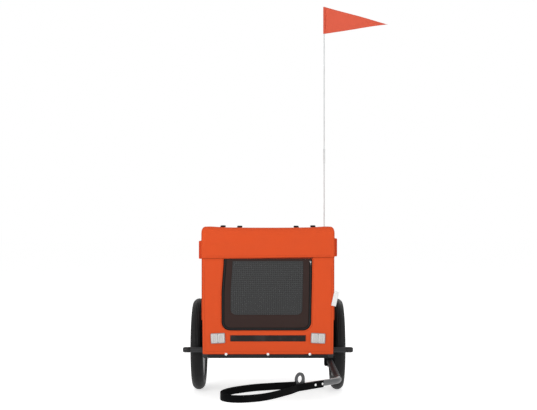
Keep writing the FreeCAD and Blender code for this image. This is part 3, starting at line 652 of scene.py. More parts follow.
# Finishes for the CAD nodes that stay as they are.
KEPT = {
    black_paint: ("base_rail_left", "base_rail_right", "base_crosstubes", "front_arch", "rear_arch",
                  "top_spreaders", "axle_plates"),
    guard_paint: ("wheel_guard_left", "wheel_guard_right"),
    drawbar_paint: ("drawbar_sleeve", "drawbar_bracket"),
    silver_tube: ("drawbar_front_tube",),
    eye_metal: ("hitch_eye",),
    rim_metal: ("left_rim", "right_rim"),
    spoke_metal: ("left_spokes", "right_spokes"),
    hub_metal: ("left_hub", "right_hub"),
    plated: ("left_bearings", "right_bearings", "left_axle", "right_axle", "left_axle_hardware",
             "right_axle_hardware", "drawbar_pivot_bolt"),
    pole_white: ("flag_pole", "pole_ferrule"),
    black_plastic: ("flag_socket",),
    floor_ply: ("floor_board",),
}
for finish, names in KEPT.items():
    for name in names:
        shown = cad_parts[name]
        shown.data.materials.clear()
        shown.data.materials.append(finish)


def facing(obj, towards):
    """Turns the sheet's faces so that they look, on the whole, towards a direction."""
    total = sum((f.normal * f.area for f in obj.data.polygons), Vector())
    if total.dot(Vector(towards)) < 0:
        obj.data.flip_normals()
    return obj


# The rings of one stitch: share of its length, lift and thickness; each ring has five points.
STITCH = ((0.0, 0.1, 0.5), (0.25, 0.8, 1.0), (0.75, 0.8, 1.0), (1.0, 0.1, 0.5))


def stitches(name, path, normal, thread, length=4.2, gap=2.0, radius=0.45, body="chassis"):
    """A row of sewn stitches lying along a path of points on a face with that normal."""
    path = [Vector(p) for p in path]
    normal = Vector(normal).normalized()
    verts, faces = [], []
    spare = length
    for a, b in zip(path, path[1:]):
        step = b - a
        along = step.normalized()
        side = along.cross(normal).normalized()
        d = spare
        while d < step.length:
            start = a + along * d
            first = len(verts)
            for share, lift, fat in STITCH:
                centre = start + along * length * share + normal * radius * lift
                for k in range(5):
                    t = 2 * math.pi * k / 5
                    spoke = side * math.cos(t) + normal * math.sin(t)
                    verts.append(centre + spoke * radius * fat)
            for r in range(first, first + 15, 5):
                for k in range(5):
                    after = (k + 1) % 5
                    faces.append((r + k, r + after, r + 5 + after, r + 5 + k))
            faces.append(tuple(first + k for k in range(4, -1, -1)))
            faces.append(tuple(first + 15 + k for k in range(5)))
            d += length + gap
        spare = max(0.0, d - step.length)
    mesh = bpy.data.meshes.new(name)
    mesh.from_pydata([v * MM for v in verts], [], faces)
    obj = bpy.data.objects.new(name, mesh)
    scene.collection.objects.link(obj)
    return finished(obj, name, thread, body, 80)


def line(a, b, count):
    """Evenly spaced points from one place to another."""
    a, b = Vector(a), Vector(b)
    return [a + (b - a) * (k / (count - 1)) for k in range(count)]


# The cabin: half sizes of the fabric box, and the roof's rounded edge.
HALF_X, HALF_Y, WALL_TOP, ROOF_R = 270.0, 350.0, 690.0, 24.0
DOOR = (-187.5, 178.5, 294.0, 584.0)
DOORWAY = (-189.5, 180.5, 292.0, 584.3)
DOOR_MESH = (-156.0, 147.0, 352.0, 579.0)
WINDOW = (-230, 230, 385, 570)
SIDES = (("left", -1), ("right", 1))
ENDS = (("front", -1), ("rear", 1))


def over_edge(share, half):
    """A place along a cloth that runs flat and then over a rounded edge at each side."""
    flat = half - ROOF_R
    total = 2 * flat + math.pi * ROOF_R
    d = share * total - total / 2
    if abs(d) <= flat:
        return d
    return math.copysign(flat + ROOF_R * math.sin((abs(d) - flat) / ROOF_R), d)


def roof_rise(x, y):
    """How far the tops of the arches and the slack between them lift or lower the roof cloth."""
    across = max(-1.0, 1 - (x / 235) ** 2)
    ends = smooth_step(0.55, 0.97, abs(y) / HALF_Y)
    return -3.0 * max(0.0, across) * (0.4 + 0.6 * ends) + 2.2 * smooth_step(170, 235, abs(x)) * ends


def roof_point(s, t):
    x, y = over_edge(s, HALF_X), over_edge(t, HALF_Y)
    dx = max(0.0, abs(x) - HALF_X + ROOF_R)
    dy = max(0.0, abs(y) - HALF_Y + ROOF_R)
    d = (dx ** 3 + dy ** 3) ** (1 / 3)
    if d > ROOF_R:
        x = math.copysign(HALF_X - ROOF_R + dx * ROOF_R / d, x)
        y = math.copysign(HALF_Y - ROOF_R + dy * ROOF_R / d, y)
        d = ROOF_R
    z = WALL_TOP + math.sqrt(max(0.0, ROOF_R ** 2 - d ** 2))
    slack = max(0.0, 1 - (x / 250) ** 2) * max(0.0, 1 - (y / 300) ** 2)
    top = 1 - (d / ROOF_R) ** 2
    z += top * (roof_rise(x, y) - 9 * slack + slack * crumple(x, y, 0, 85, 3.0, 4.0))
    return x, y, z


roof = cloth("roof_cover", 97, 121, roof_point, spread(0.5674, 0.7274), orange)
thicken(facing(roof, (0, 0, 1)), 1.3)
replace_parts(roof, "roof_panel")


def door_lean(x, z):
    """The doorway leans: its left side comes in towards the top, its right towards the foot."""
    t = min(1.0, max(0.0, (x - DOOR[0]) / (DOOR[1] - DOOR[0])))
    return (1 - t) * 9 * smooth_step(430, 596, z) - t * 4 * (1 - smooth_step(290, 586, z))


def foot_taper(x, z):
    """The end panels narrow a little towards the foot."""
    return -1.6 * (x / 268) * (1 - smooth_step(191, 420, z))


def grown(box, by):
    """A rectangle of (x0, x1, z0, z1) made larger on every side."""
    return box[0] - by, box[1] + by, box[2] - by, box[3] + by


def end_wall(end, sign):
    """One end of the cabin: its panel, the door with its netting, the zip and the seams."""
    door_body = f"{end}_door"
    face = sign * HALF_Y
    out = (0, sign, 0)
    inner = rounded_loop(*DOORWAY, 35.0, 56, 2.0)
    outer = rounded_loop(-267.6, 267.6, 195.5, WALL_TOP, 3.0, 56)

    def panel_point(x, z, share):
        lean = door_lean(x, z) * (1 - share)
        belly = 0.7 + crumple(x, 0, z, 120, 0.9, 3 * sign)
        puff = max(-0.3, belly * math.sin(math.pi * share))
        return x + lean + foot_taper(x, z) * share, face + sign * puff, z

    wall = ring_cloth(f"{end}_wall_cloth", inner, outer, 22, panel_point, orange)
    thicken(facing(wall, out), 1.2)
    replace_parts(wall, f"{end}_panel")

    door_outer = rounded_loop(*DOOR, 33.0, 56, 2.0)
    door_inner = rounded_loop(*grown(DOOR_MESH, -4), 22.0, 56, 2.0)

    def border_point(x, z, share):
        crown = 1.5 * math.sin(math.pi * share) ** 0.6 - 0.4
        return x + door_lean(x, z), face + sign * (crown - 1.0), z

    border = ring_cloth(f"{end}_door_binding", door_inner, door_outer, 12, border_point, binding,
                        door_body)
    thicken(facing(border, out), 1.2)
    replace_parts(border, f"{end}_door_border")

    def net_point(s, t):
        x = DOOR_MESH[0] + (DOOR_MESH[1] - DOOR_MESH[0]) * s
        z = DOOR_MESH[2] + (DOOR_MESH[3] - DOOR_MESH[2]) * t
        belly = 2.5 * math.sin(math.pi * s) * math.sin(math.pi * t)
        return x + door_lean(x, z), face + sign * (belly - 1.9), z

    net = cloth(f"{end}_door_netting", 29, 23, net_point, spread(0.303, 0.227), netting, door_body)
    facing(net, out)
    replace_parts(net, f"{end}_door_mesh")

    # The zip runs down one side of the door, along its foot and up the other side.
    order = u_path(DOOR[0] + 4.5, DOOR[1] - 4.5, DOOR[2] + 4.5, 580.0, 28.5)
    path = [(x + door_lean(x, z), face + sign * 0.2, z) for x, z in order]
    chain = strip(f"{end}_zip_chain", path, pill(5.5, 2.2), zip_coil, door_body, up=out)
    tape = strip(f"{end}_zip_tape", path, pill(11.0, 0.8), zip_tape, door_body, up=out)

    # Hems and seams of the panel.
    for side, way in SIDES:
        x = way * 258.5
        run = [(x + foot_taper(x, z), face + sign * 1.2, z) for z in range(205, 590, 35)]
        stitches(f"{end}_seam_{side}", run, out, thread_orange)
    y = face + sign * 0.9
    foot = [(x, y, 206.0) for x in range(-255, 256, 30)]
    stitches(f"{end}_foot_seam", foot, out, thread_orange)
    around = rounded_loop(*grown(DOORWAY, 5), 40.0, 60, 8.0)
    seam = [(x + door_lean(x, z) * 0.95, y, z) for x, z in around]
    stitches(f"{end}_doorway_seam", seam, out, thread_orange)
    for side, way in SIDES:
        x, y = way * 268.6, face - sign * 1.4
        edge = line((x, y, 336), (x, y, 689), 30)
        strip(f"{end}_corner_piping_{side}", edge, circle(1.9, 10), orange_trim, up=out)


for end, sign in ENDS:
    end_wall(end, sign)


def side_wall(side, sign):
    """One side: the cloth with its netted window, the black band below and the rolled-up cover."""
    out = (sign, 0, 0)
    inner = rounded_loop(*WINDOW, 40.0, 48)
    outer = rounded_loop(-349, 349, 333.5, WALL_TOP, 3.0, 48)

    def cloth_point(y, z, share):
        belly = 1.0 + crumple(0, y, z, 130, 1.6, 7.0 + sign)
        return sign * (HALF_X + max(-0.2, belly * math.sin(math.pi * share))), y, z

    wall = ring_cloth(f"side_cloth_{side}", inner, outer, 18, cloth_point, orange)
    thicken(facing(wall, out), 1.2)
    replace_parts(wall, f"side_panel_{side}")
    rim = [(sign * (HALF_X + 0.2), y, z) for y, z in rounded_loop(*WINDOW, 40.0, 60)]
    strip(f"window_binding_{side}", rim, pill(11.0, 1.7), black_cloth, up=out, closed=True)
    seam = [(sign * (HALF_X + 1.0), y, z) for y, z in rounded_loop(*grown(WINDOW, 8), 46.0, 60)]
    stitches(f"window_seam_{side}", seam, out, thread_orange)

    def net_point(s, t):
        dip = 5.0 * math.sin(math.pi * s) * math.sin(math.pi * t)
        return sign * (267.4 - dip), -242 + 484 * s, 373 + 209 * t

    net = cloth(f"side_netting_{side}", 41, 21, net_point, spread(0.484, 0.209), netting)
    facing(net, out)

    def band_point(s, t):
        z = 211.5 + 133.5 * t
        wave = crumple(0, s * 690, z, 90, 1.2, 2 * sign) * math.sin(math.pi * t)
        return sign * (267.6 + wave * 0.3), -347 + 694 * s, z

    band = cloth(f"side_band_cloth_{side}", 57, 13, band_point, spread(0.694, 0.134), black_cloth)
    thicken(facing(band, out), 1.2)
    foot = line((sign * 263.6, -320, 204.5), (sign * 263.6, 320, 204.5), 40)
    hem = strip(f"side_band_hem_{side}", foot, pill(1.2, 19.0), black_cloth)
    seam = [(sign * (HALF_X + 0.6), y, 340.0) for y in range(-340, 341, 40)]
    stitches(f"band_seam_{side}", seam, out, thread_orange)
    return net, band, rolled_cover(side, sign)


ROLL_TIES = (-205, 0, 205)


def rolled_cover(side, sign):
    """The window's storm cover rolled up flat above it and held by three webbing loops."""
    turns, steps, rows = 5.6, 150, 61
    middle = (sign * (HALF_X + 7.6), 625.0 + 5.0 * sign)

    def on_roll(a, y, wide, high):
        c, n = math.cos(a), math.sin(a)
        return (middle[0] + sign * wide * math.copysign(abs(c) ** 0.55, c), y,
                middle[1] + high * math.copysign(abs(n) ** 0.8, n))

    def roll_point(s, t):
        y = -300 + 600 * t
        pinch = sum(math.exp(-((y - tie) / 22) ** 2) for tie in ROLL_TIES)
        a = 2 * math.pi * turns * s + 0.5
        inset = 1.1 * turns * (1 - s)
        puff = crumple(a, y, turns * s, 70, 0.8, 5.0)
        wide = 7.3 - inset * 0.95 - 0.5 * pinch + puff * 0.4
        high = 37.6 - inset * 1.5 - 1.2 * pinch + puff
        return on_roll(a, y, wide, high)

    wound = [roll_point(k / (steps - 1), 0.3) for k in range(steps)]
    lengths = [0.0]
    for a, b in zip(wound, wound[1:]):
        lengths.append(lengths[-1] + math.dist(a, b))

    def roll_uv(s, t):
        return lengths[round(s * (steps - 1))] * MM, 0.6 * t

    roll = cloth(f"rolled_cover_cloth_{side}", steps, rows, roll_point, roll_uv, orange)
    thicken(roll, 0.9, 0.0)
    for end, way in ENDS:
        place = (middle[0], way * 300.4, middle[1])
        hem = moulding((14.6, 5.0, 74.6), place, way, (4.0, 4), (1.6, 3), (1.5, -0.6))
        finished(hem, f"cover_end_{side}_{end}", orange)
    for k, y in enumerate(ROLL_TIES):
        ring = [on_roll(2 * math.pi * j / 40, y, 7.6, 38.2) for j in range(40)]
        strip(f"cover_tie_{side}_{k + 1}", ring, pill(16.0, 1.0), strap_black,
                          up=(sign, 0, 0.001), closed=True)
    return roll


nets, bands, rolls = zip(*(side_wall(side, sign) for side, sign in SIDES))
for group, node in ((nets, "side_meshes"), (bands, "side_bands"), (rolls, "rolled_side_covers")):
    for obj in group:
        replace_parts(obj, node)


# The front flap: a cap over the roof's front edge whose cheeks turn the corners.
FLAP_X, FLAP_FRONT, FLAP_BACK = 272.0, -356.0, -322.0
FLAP_FOOT, FLAP_TOP, FLAP_R = 588.0, 714.5, 26.0
FLAP_WALL, FLAP_ARC = FLAP_TOP - FLAP_R - FLAP_FOOT, FLAP_R * math.pi / 2
FLAP_RUN = FLAP_WALL + FLAP_ARC + 7.5
FLAP_CHEEK = 0.06


def flap_point(s, t):
    d = t * FLAP_RUN
    if d < FLAP_WALL:
        inset, z = 0.0, FLAP_FOOT + d
    elif d < FLAP_WALL + FLAP_ARC:
        a = (d - FLAP_WALL) / FLAP_R
        inset, z = FLAP_R * (1 - math.cos(a)), FLAP_TOP - FLAP_R + FLAP_R * math.sin(a)
    else:
        inset, z = FLAP_R + d - FLAP_WALL - FLAP_ARC, FLAP_TOP
    half, front = FLAP_X - 0.6 * inset, FLAP_FRONT + inset
    cheek = max(0.3, FLAP_BACK - front)
    if s < FLAP_CHEEK:
        x, y = -half, FLAP_BACK - cheek * s / FLAP_CHEEK
    elif s > 1 - FLAP_CHEEK:
        x, y = half, FLAP_BACK - cheek * (1 - s) / FLAP_CHEEK
    else:
        x, y = -half + 2 * half * (s - FLAP_CHEEK) / (1 - 2 * FLAP_CHEEK), front
    corner = 9.0 * min(1.0, cheek / 30)
    ax, ay = half - corner, front + corner
    if abs(x) > ax and y < ay:
        dx, dy = abs(x) - ax, ay - y
        scale = max(dx, dy) / max(1e-6, math.hypot(dx, dy))
        x, y = math.copysign(ax + dx * scale, x), ay - dy * scale
    z += smooth_step(636, 714, z) * (roof_rise(x, -345) - 1.0)
    low = 1 - smooth_step(FLAP_FOOT, 686, z)
    ripple = low * (1.4 * math.sin(x / 88.0 + 0.7) + 1.0) + crumple(x, 0, z, 110, 1.3, 1.0)
    y -= ripple - 5.0 * smooth_step(640, 705, z)
    z += (1 - smooth_step(588, 636, z)) * (1.2 * math.sin(x / 130.0) + 0.004 * x)
    return x, y, z


flap = cloth("front_flap_cloth", 121, 33, flap_point, spread(0.612, 0.151), orange)
thicken(facing(flap, (0, -1, 0.5)), 1.4)
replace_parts(flap, "front_flap")


def on_flap(x, z, lift):
    """A point just off the flap's front at a given height."""
    share = FLAP_CHEEK + (1 - 2 * FLAP_CHEEK) * (x + FLAP_X) / (2 * FLAP_X)
    place = flap_point(share, (z - FLAP_FOOT) / FLAP_RUN)
    return place[0], place[1] - lift, place[2]


hem_seam = [on_flap(x, 597, 0.1) for x in range(-258, 259, 12)]
stitches("flap_hem_seam", hem_seam, (0, -1, 0), thread_orange)
hem_edge = [on_flap(x, 589.2, -0.7) for x in range(-262, 263, 12)]
strip("flap_hem", hem_edge, pill(2.6, 3.4), orange_trim)
for name, y, finish in (("door_header", -350.4, black_cloth),
                        ("rear_door_header", 350.4, orange_trim)):
    strip(name, line((-184, y, 591.6), (184, y, 591.6), 30), pill(1.2, 12.6), finish)
EDGE_X, EDGE_Y = HALF_X + 0.1, HALF_Y + 0.1
for side, a, b in (("left", (-EDGE_X, -318, WALL_TOP), (-EDGE_X, 344, WALL_TOP)),
                   ("right", (EDGE_X, -318, WALL_TOP), (EDGE_X, 344, WALL_TOP)),
                   ("rear", (-264, EDGE_Y, WALL_TOP), (264, EDGE_Y, WALL_TOP))):
    strip(f"roof_piping_{side}", line(a, b, 40), circle(1.9, 10), orange_trim)

# Half sections of the domed rivet heads: (height, radius).
RIVET = [(0, 0), (0, 5.4), (0.7, 5.5), (1.1, 5.1), (1.3, 4.2), (1.9, 3.9), (2.5, 3.0), (2.9, 1.7),
         (3.0, 0)]
STRAP_RIVET = [(0, 0), (0, 4.6), (0.5, 4.6), (1.0, 4.1), (1.6, 3.0), (1.9, 1.5), (2.0, 0)]


def end_trim(end, sign, lens):
    """Reflectors, rivets and the zip's pull on one end of the cabin."""
    face, door_body = sign * HALF_Y, f"{end}_door"
    for side, way in SIDES:
        tilt = math.radians(2.7) * way
        turn = (0, tilt, 0)
        spot = Vector((way * 204.0, face, 261.0))
        place = spot + Vector((0, sign * 3.8, 0))
        shell = moulding((58, 7.2, 41), place, sign, (4.0, 4), (0.8, 2), (1.6, -0.9), turn)
        finished(shell, f"{end}_reflector_frame_{side}", lens_frame)
        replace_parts(shell, f"{end}_reflectors")
        for half, x in (("a", -13.6), ("b", 13.6)):
            place = spot + Vector((x * math.cos(tilt), sign * 6.9, -x * math.sin(tilt)))
            pane = moulding((25.6, 2.2, 36.0), place, sign, (1.6, 4), (0.6, 2), (7.0, 0.3), turn)
            finished(pane, f"{end}_reflector_lens_{side}_{half}", lens)
    dome = [(face + sign * (0.2 + height), radius) for height, radius in RIVET]
    for k, x in enumerate((-170.7, 0, 170.7)):
        rivet = turned(f"{end}_rivet_dome_{k + 1}", dome, (x, 0, 195.5), white_paint, 20, (0, 1, 0))
        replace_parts(rivet, f"{end}_rivets")
    x = 173.5 + door_lean(173.5, 575)
    slider = moulding((6.4, 2.6, 8.0), (x, face + sign * 2.9, 571.5), sign, (2.2, 4), (0.7, 2))
    finished(slider, f"{end}_zip_slider", zip_metal, door_body)
    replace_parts(slider, f"{end}_zip_pull")
    loop = [(x, face + sign * off, z) for off, z in ((4.0, 573), (5.2, 570.5), (4.4, 567))]
    strip(f"{end}_zip_bail", loop, circle(0.9, 8), zip_metal, door_body, up=(1, 0, 0))
    place = (x, face + sign * 4.0, 563.0)
    pull = moulding((3.6, 1.2, 9.0), place, sign, (1.8, 3), inset=(0.9, -0.3))
    finished(pull, f"{end}_zip_tab", eye_metal, door_body)


end_trim("front", -1, lens_clear)
end_trim("rear", 1, lens_red)

across_front = line((-153.5, -351.9, 260.5), (153.5, -351.9, 260.5), 40)
front_strip = strip("front_webbing_strip", across_front, pill(1.8, 25.0), strap_grey)
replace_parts(front_strip, "front_webbing")
for side, way in SIDES:
    tack = [(way * 147.5, -352.8, z) for z in (250, 260.5, 271)]
    stitches(f"webbing_end_{side}", tack, (0, -1, 0), thread_black, 2.6, 1.2)


def tab_point(s, t):
    u, v = (s - 0.5) * 19.4, (t - 0.5) * 61.0
    c, n = math.cos(math.radians(-13)), math.sin(math.radians(-13))
    curl = 3.5 * smooth_step(0.3, 1.0, s) * (0.4 + 0.6 * t)
    return 273.5 + u * c - v * n, -351.6 - curl, 422 + u * n + v * c


tab = cloth("seam_tab_tape", 11, 25, tab_point, spread(0.0194, 0.061), white_tape)
thicken(facing(tab, (0, -1, 0)), 0.5)
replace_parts(tab, "seam_tab")


def roof_height(x, y):
    """The height of the roof cloth over a place on its flat part."""
    def share(d, half):
        flat = half - ROOF_R
        return (d + flat + ROOF_R * math.pi / 2) / (2 * flat + math.pi * ROOF_R)

    return roof_point(share(x, HALF_X), share(y, HALF_Y))[2]


# Where a buckle's bars begin and end across and along the strap, and where it lies on the roof.
BUCKLE_X = (-10.5, -6.6, 6.6, 10.5)
BUCKLE_Y = (-18.0, -13.8, -8.0, -3.8, 2.6, 6.4, 13.6, 18.0)
BUCKLE_AT = -223


def ladder_buckle(name, centre):
    """A strap buckle: a grid with three openings, thickened and rounded."""
    columns, rows = len(BUCKLE_X) - 1, len(BUCKLE_Y) - 1
    obj = grid(columns + 1, rows + 1)
    for vertex in obj.data.vertices:
        column, row = round((vertex.co.x + 0.5) * columns), round((vertex.co.y + 0.5) * rows)
        vertex.co = Vector((BUCKLE_X[column], BUCKLE_Y[row], 0)) * MM
    holes = [(BUCKLE_Y[k] * MM, BUCKLE_Y[k + 1] * MM) for k in (1, 3, 5)]
    pick(obj, "FACE", lambda mid, way: abs(mid.x) < 3 * MM and any(a < mid.y < b for a, b in holes))
    bpy.ops.mesh.delete(type="FACE")
    thicken(close_edit(obj), 4.8, 0.0)
    modify(obj, "BEVEL", width=1.1 * MM, segments=2)
    obj.location = Vector(centre) * MM
    return finished(tidied(obj), name, black_plastic)


def tie_lift(y):
    """How far the strap stands off the roof where it goes through its buckle."""
    return 4.4 * math.exp(-((y - BUCKLE_AT) / 24) ** 2)


for k, x in enumerate((-188, -118, 118, 188)):
    path = [(x, y, roof_height(x, y) + 0.9 + tie_lift(y)) for y in range(-316, -203, 7)]
    tie = strip(f"roof_tie_strap_{k + 1}", path, pill(19.0, 1.4), strap_black)
    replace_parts(tie, "roof_ties")
    z = roof_height(x, BUCKLE_AT) + 6.6
    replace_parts(ladder_buckle(f"tie_buckle_{k + 1}_moulding", (x, BUCKLE_AT, z)), "tie_buckles")
    tail = [(x, BUCKLE_AT + 10 + 3.5 * j, z + 2.9 - 0.08 * j * j) for j in range(8)]
    strip(f"tie_tail_{k + 1}", tail, pill(17.0, 1.3), strap_black)


MAT_X, MAT_Y, MAT_Z, MAT_R = 230.5, 320.5, 213, 30.0


def mat_face(s, t, top):
    """The mat's upper or lower face, quilted in squares on top."""
    u, v = 2 * s - 1, 2 * t - 1
    u, v = math.sin(u * math.pi / 2) * 0.35 + u * 0.65, math.sin(v * math.pi / 2) * 0.35 + v * 0.65
    x, y = u * MAT_X, v * MAT_Y
    dx, dy = max(0.0, abs(x) - MAT_X + MAT_R), max(0.0, abs(y) - MAT_Y + MAT_R)
    if dx and dy:
        scale = max(dx, dy) / math.hypot(dx, dy)
        x = math.copysign(MAT_X - MAT_R + dx * scale, x)
        y = math.copysign(MAT_Y - MAT_R + dy * scale, y)
    full = max(0.0, 1 - max(abs(u), abs(v)) ** 10) ** 0.45
    if not top:
        return x, y, MAT_Z - 6.4 * full
    seam = max(math.exp(-(((x + 231) % 92.4 - 46.2) / 5.5) ** 2),
               math.exp(-(((y + 321) % 91.7 - 45.85) / 5.5) ** 2))
    return x, y, MAT_Z + full * (17.5 - 7.0 * seam + crumple(x, y, 0, 45, 1.3))


mat_faces = [cloth(f"floor_mat_{face}", 75, 97, lambda s, t, top=top: mat_face(s, t, top),
                   spread(0.46, 0.64), mat_cloth) for face, top in (("top", True), ("foot", False))]
mat = tidied(joined(mat_faces, "floor_mat_quilt"), 0.02)
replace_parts(mat, "floor_mat")


# The wheels: the tyres' middle, the axles' height, and the ring that a tyre's section follows.
WHEEL_X, AXLE_Z, TYRE_RING = 302.5, 200, 172.5


def tyre(side, sign):
    """A road tyre: a round section with ribs round it, small cross slots and a raised bead line."""
    profile = []
    steps = 72
    for k in range(steps + 1):
        a = math.radians(-149 + 298 * k / steps)
        off = abs(math.degrees(a))
        deep = max(1.5 * math.exp(-((off - groove) / 2.2) ** 2) for groove in (9, 26, 43))
        raised = 0.5 * math.exp(-((off - 62) / 2.5) ** 2)
        section = 27.2 - deep + raised * 0.5
        profile.append((section * math.sin(a), TYRE_RING + section * math.cos(a)))
    middle = Vector((sign * WHEEL_X, 0, AXLE_Z))
    obj = turned(f"{side}_tyre_tread", profile, middle, tyre_black, 180, body=f"{side}_wheel")
    middle = middle * MM
    for vertex in obj.data.vertices:
        spoke = vertex.co - middle
        flat = Vector((0, spoke.y, spoke.z))
        turn = abs(math.degrees(math.atan2(spoke.x, flat.length - TYRE_RING * MM)))
        row = round(math.degrees(math.atan2(spoke.z, spoke.y)) / 2) % 6
        if (26 < turn < 58 and row == 0) or (turn < 8 and row == 3):
            ring = middle + flat.normalized() * TYRE_RING * MM
            vertex.co = ring + (vertex.co - ring) * (1 - 1.1 / 27.5)
    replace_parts(obj, f"{side}_tyre")


SPOKES, FLANGE_R, NIPPLE_R = 24, 27, 143
RIM_HOOK = [(15.4, 149.2), (16.4, 150.6), (17.6, 150.9), (18.2, 149.6), (17.4, 148.2)]
NIPPLE = [(0, 0), (0, 1.3), (0.8, 2.0), (11.0, 2.0), (11.8, 1.4), (11.8, 0)]
VALVE_STEM = [(0, 0), (0, 4.0), (6, 3.6), (25, 3.4), (25, 0)]
VALVE_CAP = [(24, 0), (24, 4.1), (33, 4.0), (35.6, 3.0), (36.5, 0)]


def wheel_detail(side, sign):
    """A wheel's rim hooks, spoke nipples and valve."""
    body = f"{side}_wheel"
    x = sign * WHEEL_X

    def on_wheel(off, radius, a):
        return Vector((x + off, radius * math.cos(a), AXLE_Z + radius * math.sin(a)))

    for edge, way in (("inner", -1), ("outer", 1)):
        hook = mirrored(RIM_HOOK, way)
        turned(f"{side}_rim_hook_{edge}", hook, (x, 0, AXLE_Z), rim_metal, body=body)
    moves = []
    for k in range(SPOKES):
        flange = 1 if k % 2 else -1
        lead = 1 if k // 2 % 2 else -1
        rim_at = 2 * math.pi * k / SPOKES
        start = on_wheel(flange * 17 + lead * 2.5, FLANGE_R, rim_at + lead * math.radians(40))
        end = on_wheel(flange * 4, NIPPLE_R, rim_at)
        ahead = (end - start).normalized()
        turn = Vector((1, 0, 0)).rotation_difference(ahead).to_matrix().to_4x4()
        moves.append(Matrix.Translation((end - ahead * 14) * MM) @ turn)
    nipple = turned(f"{side}_nipple", NIPPLE, (0, 0, 0), plated, 8, body=body)
    copied(nipple, f"{side}_spoke_nipples", moves)
    a = math.radians(257)
    radial = Vector((0, math.cos(a), math.sin(a)))
    root = Vector((x, 0, AXLE_Z)) + radial * 142
    turned(f"{side}_valve_stem", VALVE_STEM, root, tyre_black, 16, -radial, body)
    turned(f"{side}_valve_cap", VALVE_CAP, root, black_plastic, 16, -radial, body)


for side, sign in SIDES:
    tyre(side, sign)
    wheel_detail(side, sign)


def weld_ring(name, centre, along, finish):
    """A weld bead round a tube's end: a ring made uneven."""
    turn = Vector((0, 0, 1)).rotation_difference(Vector(along)).to_euler()
    obj = started(bpy.ops.mesh.primitive_torus_add, location=Vector(centre) * MM, rotation=turn,
                  major_segments=36, minor_segments=8, major_radius=11.3 * MM,
                  minor_radius=1.7 * MM)
    open_edit(obj)
    bpy.ops.transform.vertex_random(offset=0.35 * MM, seed=int(abs(centre[1])))
    return finished(close_edit(obj), name, finish, angle=180)


# The base rails, the bars ahead of the wheels, and the end caps of both as (along, radius).
RAIL_X, RAIL_Z, GUARD_Y, GUARD_Z = 254.7, 189, -230, 200
RAIL_CAP = [(346.7, 0), (346.7, 11.3), (348.3, 11.2), (349.1, 10.2), (349.3, 6.0), (349.3, 0)]
GUARD_CAP = [(326, 0), (326, 11.2), (326.6, 11.7), (349, 11.7), (353, 10.4), (355.4, 7.4),
             (356.2, 4), (356.3, 0)]
ACROSS, UPRIGHT = (1, 0, 0), (0, 0, 1)

welds = []
for side, way in SIDES:
    welds += [((way * 243.4, y, RAIL_Z), ACROSS, black_paint) for y in (-336.7, -110, 110, 336.7)]
    welds.append(((way * 267.0, GUARD_Y, GUARD_Z), ACROSS, guard_paint))
    welds += [((way * RAIL_X, y, 201.5), UPRIGHT, black_paint) for y in (-333.6, 333.6)]
joined([weld_ring(f"weld_bead_{k}", *weld) for k, weld in enumerate(welds)], "frame_weld_beads")
for side, way in SIDES:
    for end, sign in ENDS:
        turned(f"rail_cap_{side}_{end}", mirrored(RAIL_CAP, sign), (way * RAIL_X, 0, RAIL_Z),
               black_plastic, 28, (0, 1, 0))
for side, way in SIDES:
    turned(f"guard_cap_{side}", mirrored(GUARD_CAP, way), (0, GUARD_Y, GUARD_Z), black_plastic, 40)

# The safety strap: webbing on edge, riveted along the tube, drooping ahead of the hitch and sewn
# back on itself.
STRAP = [(195.0, -917.5, 161), (164.6, -947.9, 161), (122.2, -990.3, 160.5),
         (102.4, -1010.1, 160), (72.0, -1066.0, 158.5), (-6.0, -1161.5, 155),
         (-84.0, -1201.0, 154), (-138.0, -1185.0, 154.5), (-156.5, -1134.5, 156),
         (-130.5, -1080.0, 159.5), (-58.0, -1042.3, 165), (14.5, -1028.7, 168.5),
         (62.0, -1021.5, 170), (97.0, -1015.5, 171)]


def through(points):
    """A smooth line through all the points."""
    per_span = 10
    points = [Vector(p) for p in points]
    ends = [points[0] * 2 - points[1]] + points + [points[-1] * 2 - points[-2]]
    found = []
    for a, b, c, d in zip(ends, ends[1:], ends[2:], ends[3:]):
        for k in range(per_span):
            t = k / per_span
            found.append(0.5 * ((2 * b) + (c - a) * t + (2 * a - 5 * b + 4 * c - d) * t * t
                                + (3 * b - a - 3 * c + d) * t ** 3))
    return found + [points[-1]]


strap = strip("safety_strap_webbing", through(STRAP), pill(2.4, 25.0, 0.4), strap_black, "drawbar")
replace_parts(strap, "safety_strap")
sewn = Vector((84.0, -1017.7, 170.6))
run = (Vector(STRAP[-1]) - Vector(STRAP[-2])).normalized()
back = run.cross(Vector((0, 0, 1))).normalized()
BOX_STITCH = [(-9, -9), (9, -9), (9, 9), (-9, 9), (-9, -9), (9, 9)]
for way, face in ((1, "near"), (-1, "far")):
    box = [sewn + run * a + Vector((0, 0, b)) + back * way * 1.2 for a, b in BOX_STITCH]
    stitches(f"strap_box_stitch_{face}", box, back * way, thread_black, 2.6, 1.2, 0.4, "drawbar")
outward = Vector((1, -1, 0)).normalized()
heading = Vector((-1, -1, 0)).normalized()
TUBE_Z = 161.2
bend = Vector((RAIL_X, -840.0, TUBE_Z))
for k, along in enumerate((103, 139)):
    place = bend + heading * along + outward * 13.8
    rivet = turned(f"strap_rivet_dome_{k + 1}", STRAP_RIVET, place, white_paint, 20, outward,
                   "drawbar")
    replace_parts(rivet, "strap_rivets")
COLLAR = [(-9, 12.6), (-8.4, 13.4), (-1, 13.6), (0.6, 13.2), (1.0, 12.0), (1.0, 11.3), (-9, 11.3)]
turned("sleeve_collar", COLLAR, (RAIL_X, -798, TUBE_Z), black_plastic, 40, (0, -1, 0), "drawbar")

# The pennant: the pole side's foot and top, and the place of the pole.
FLAG_FOOT, FLAG_HEAD, FLAG_Y = 1637, 1765, 357


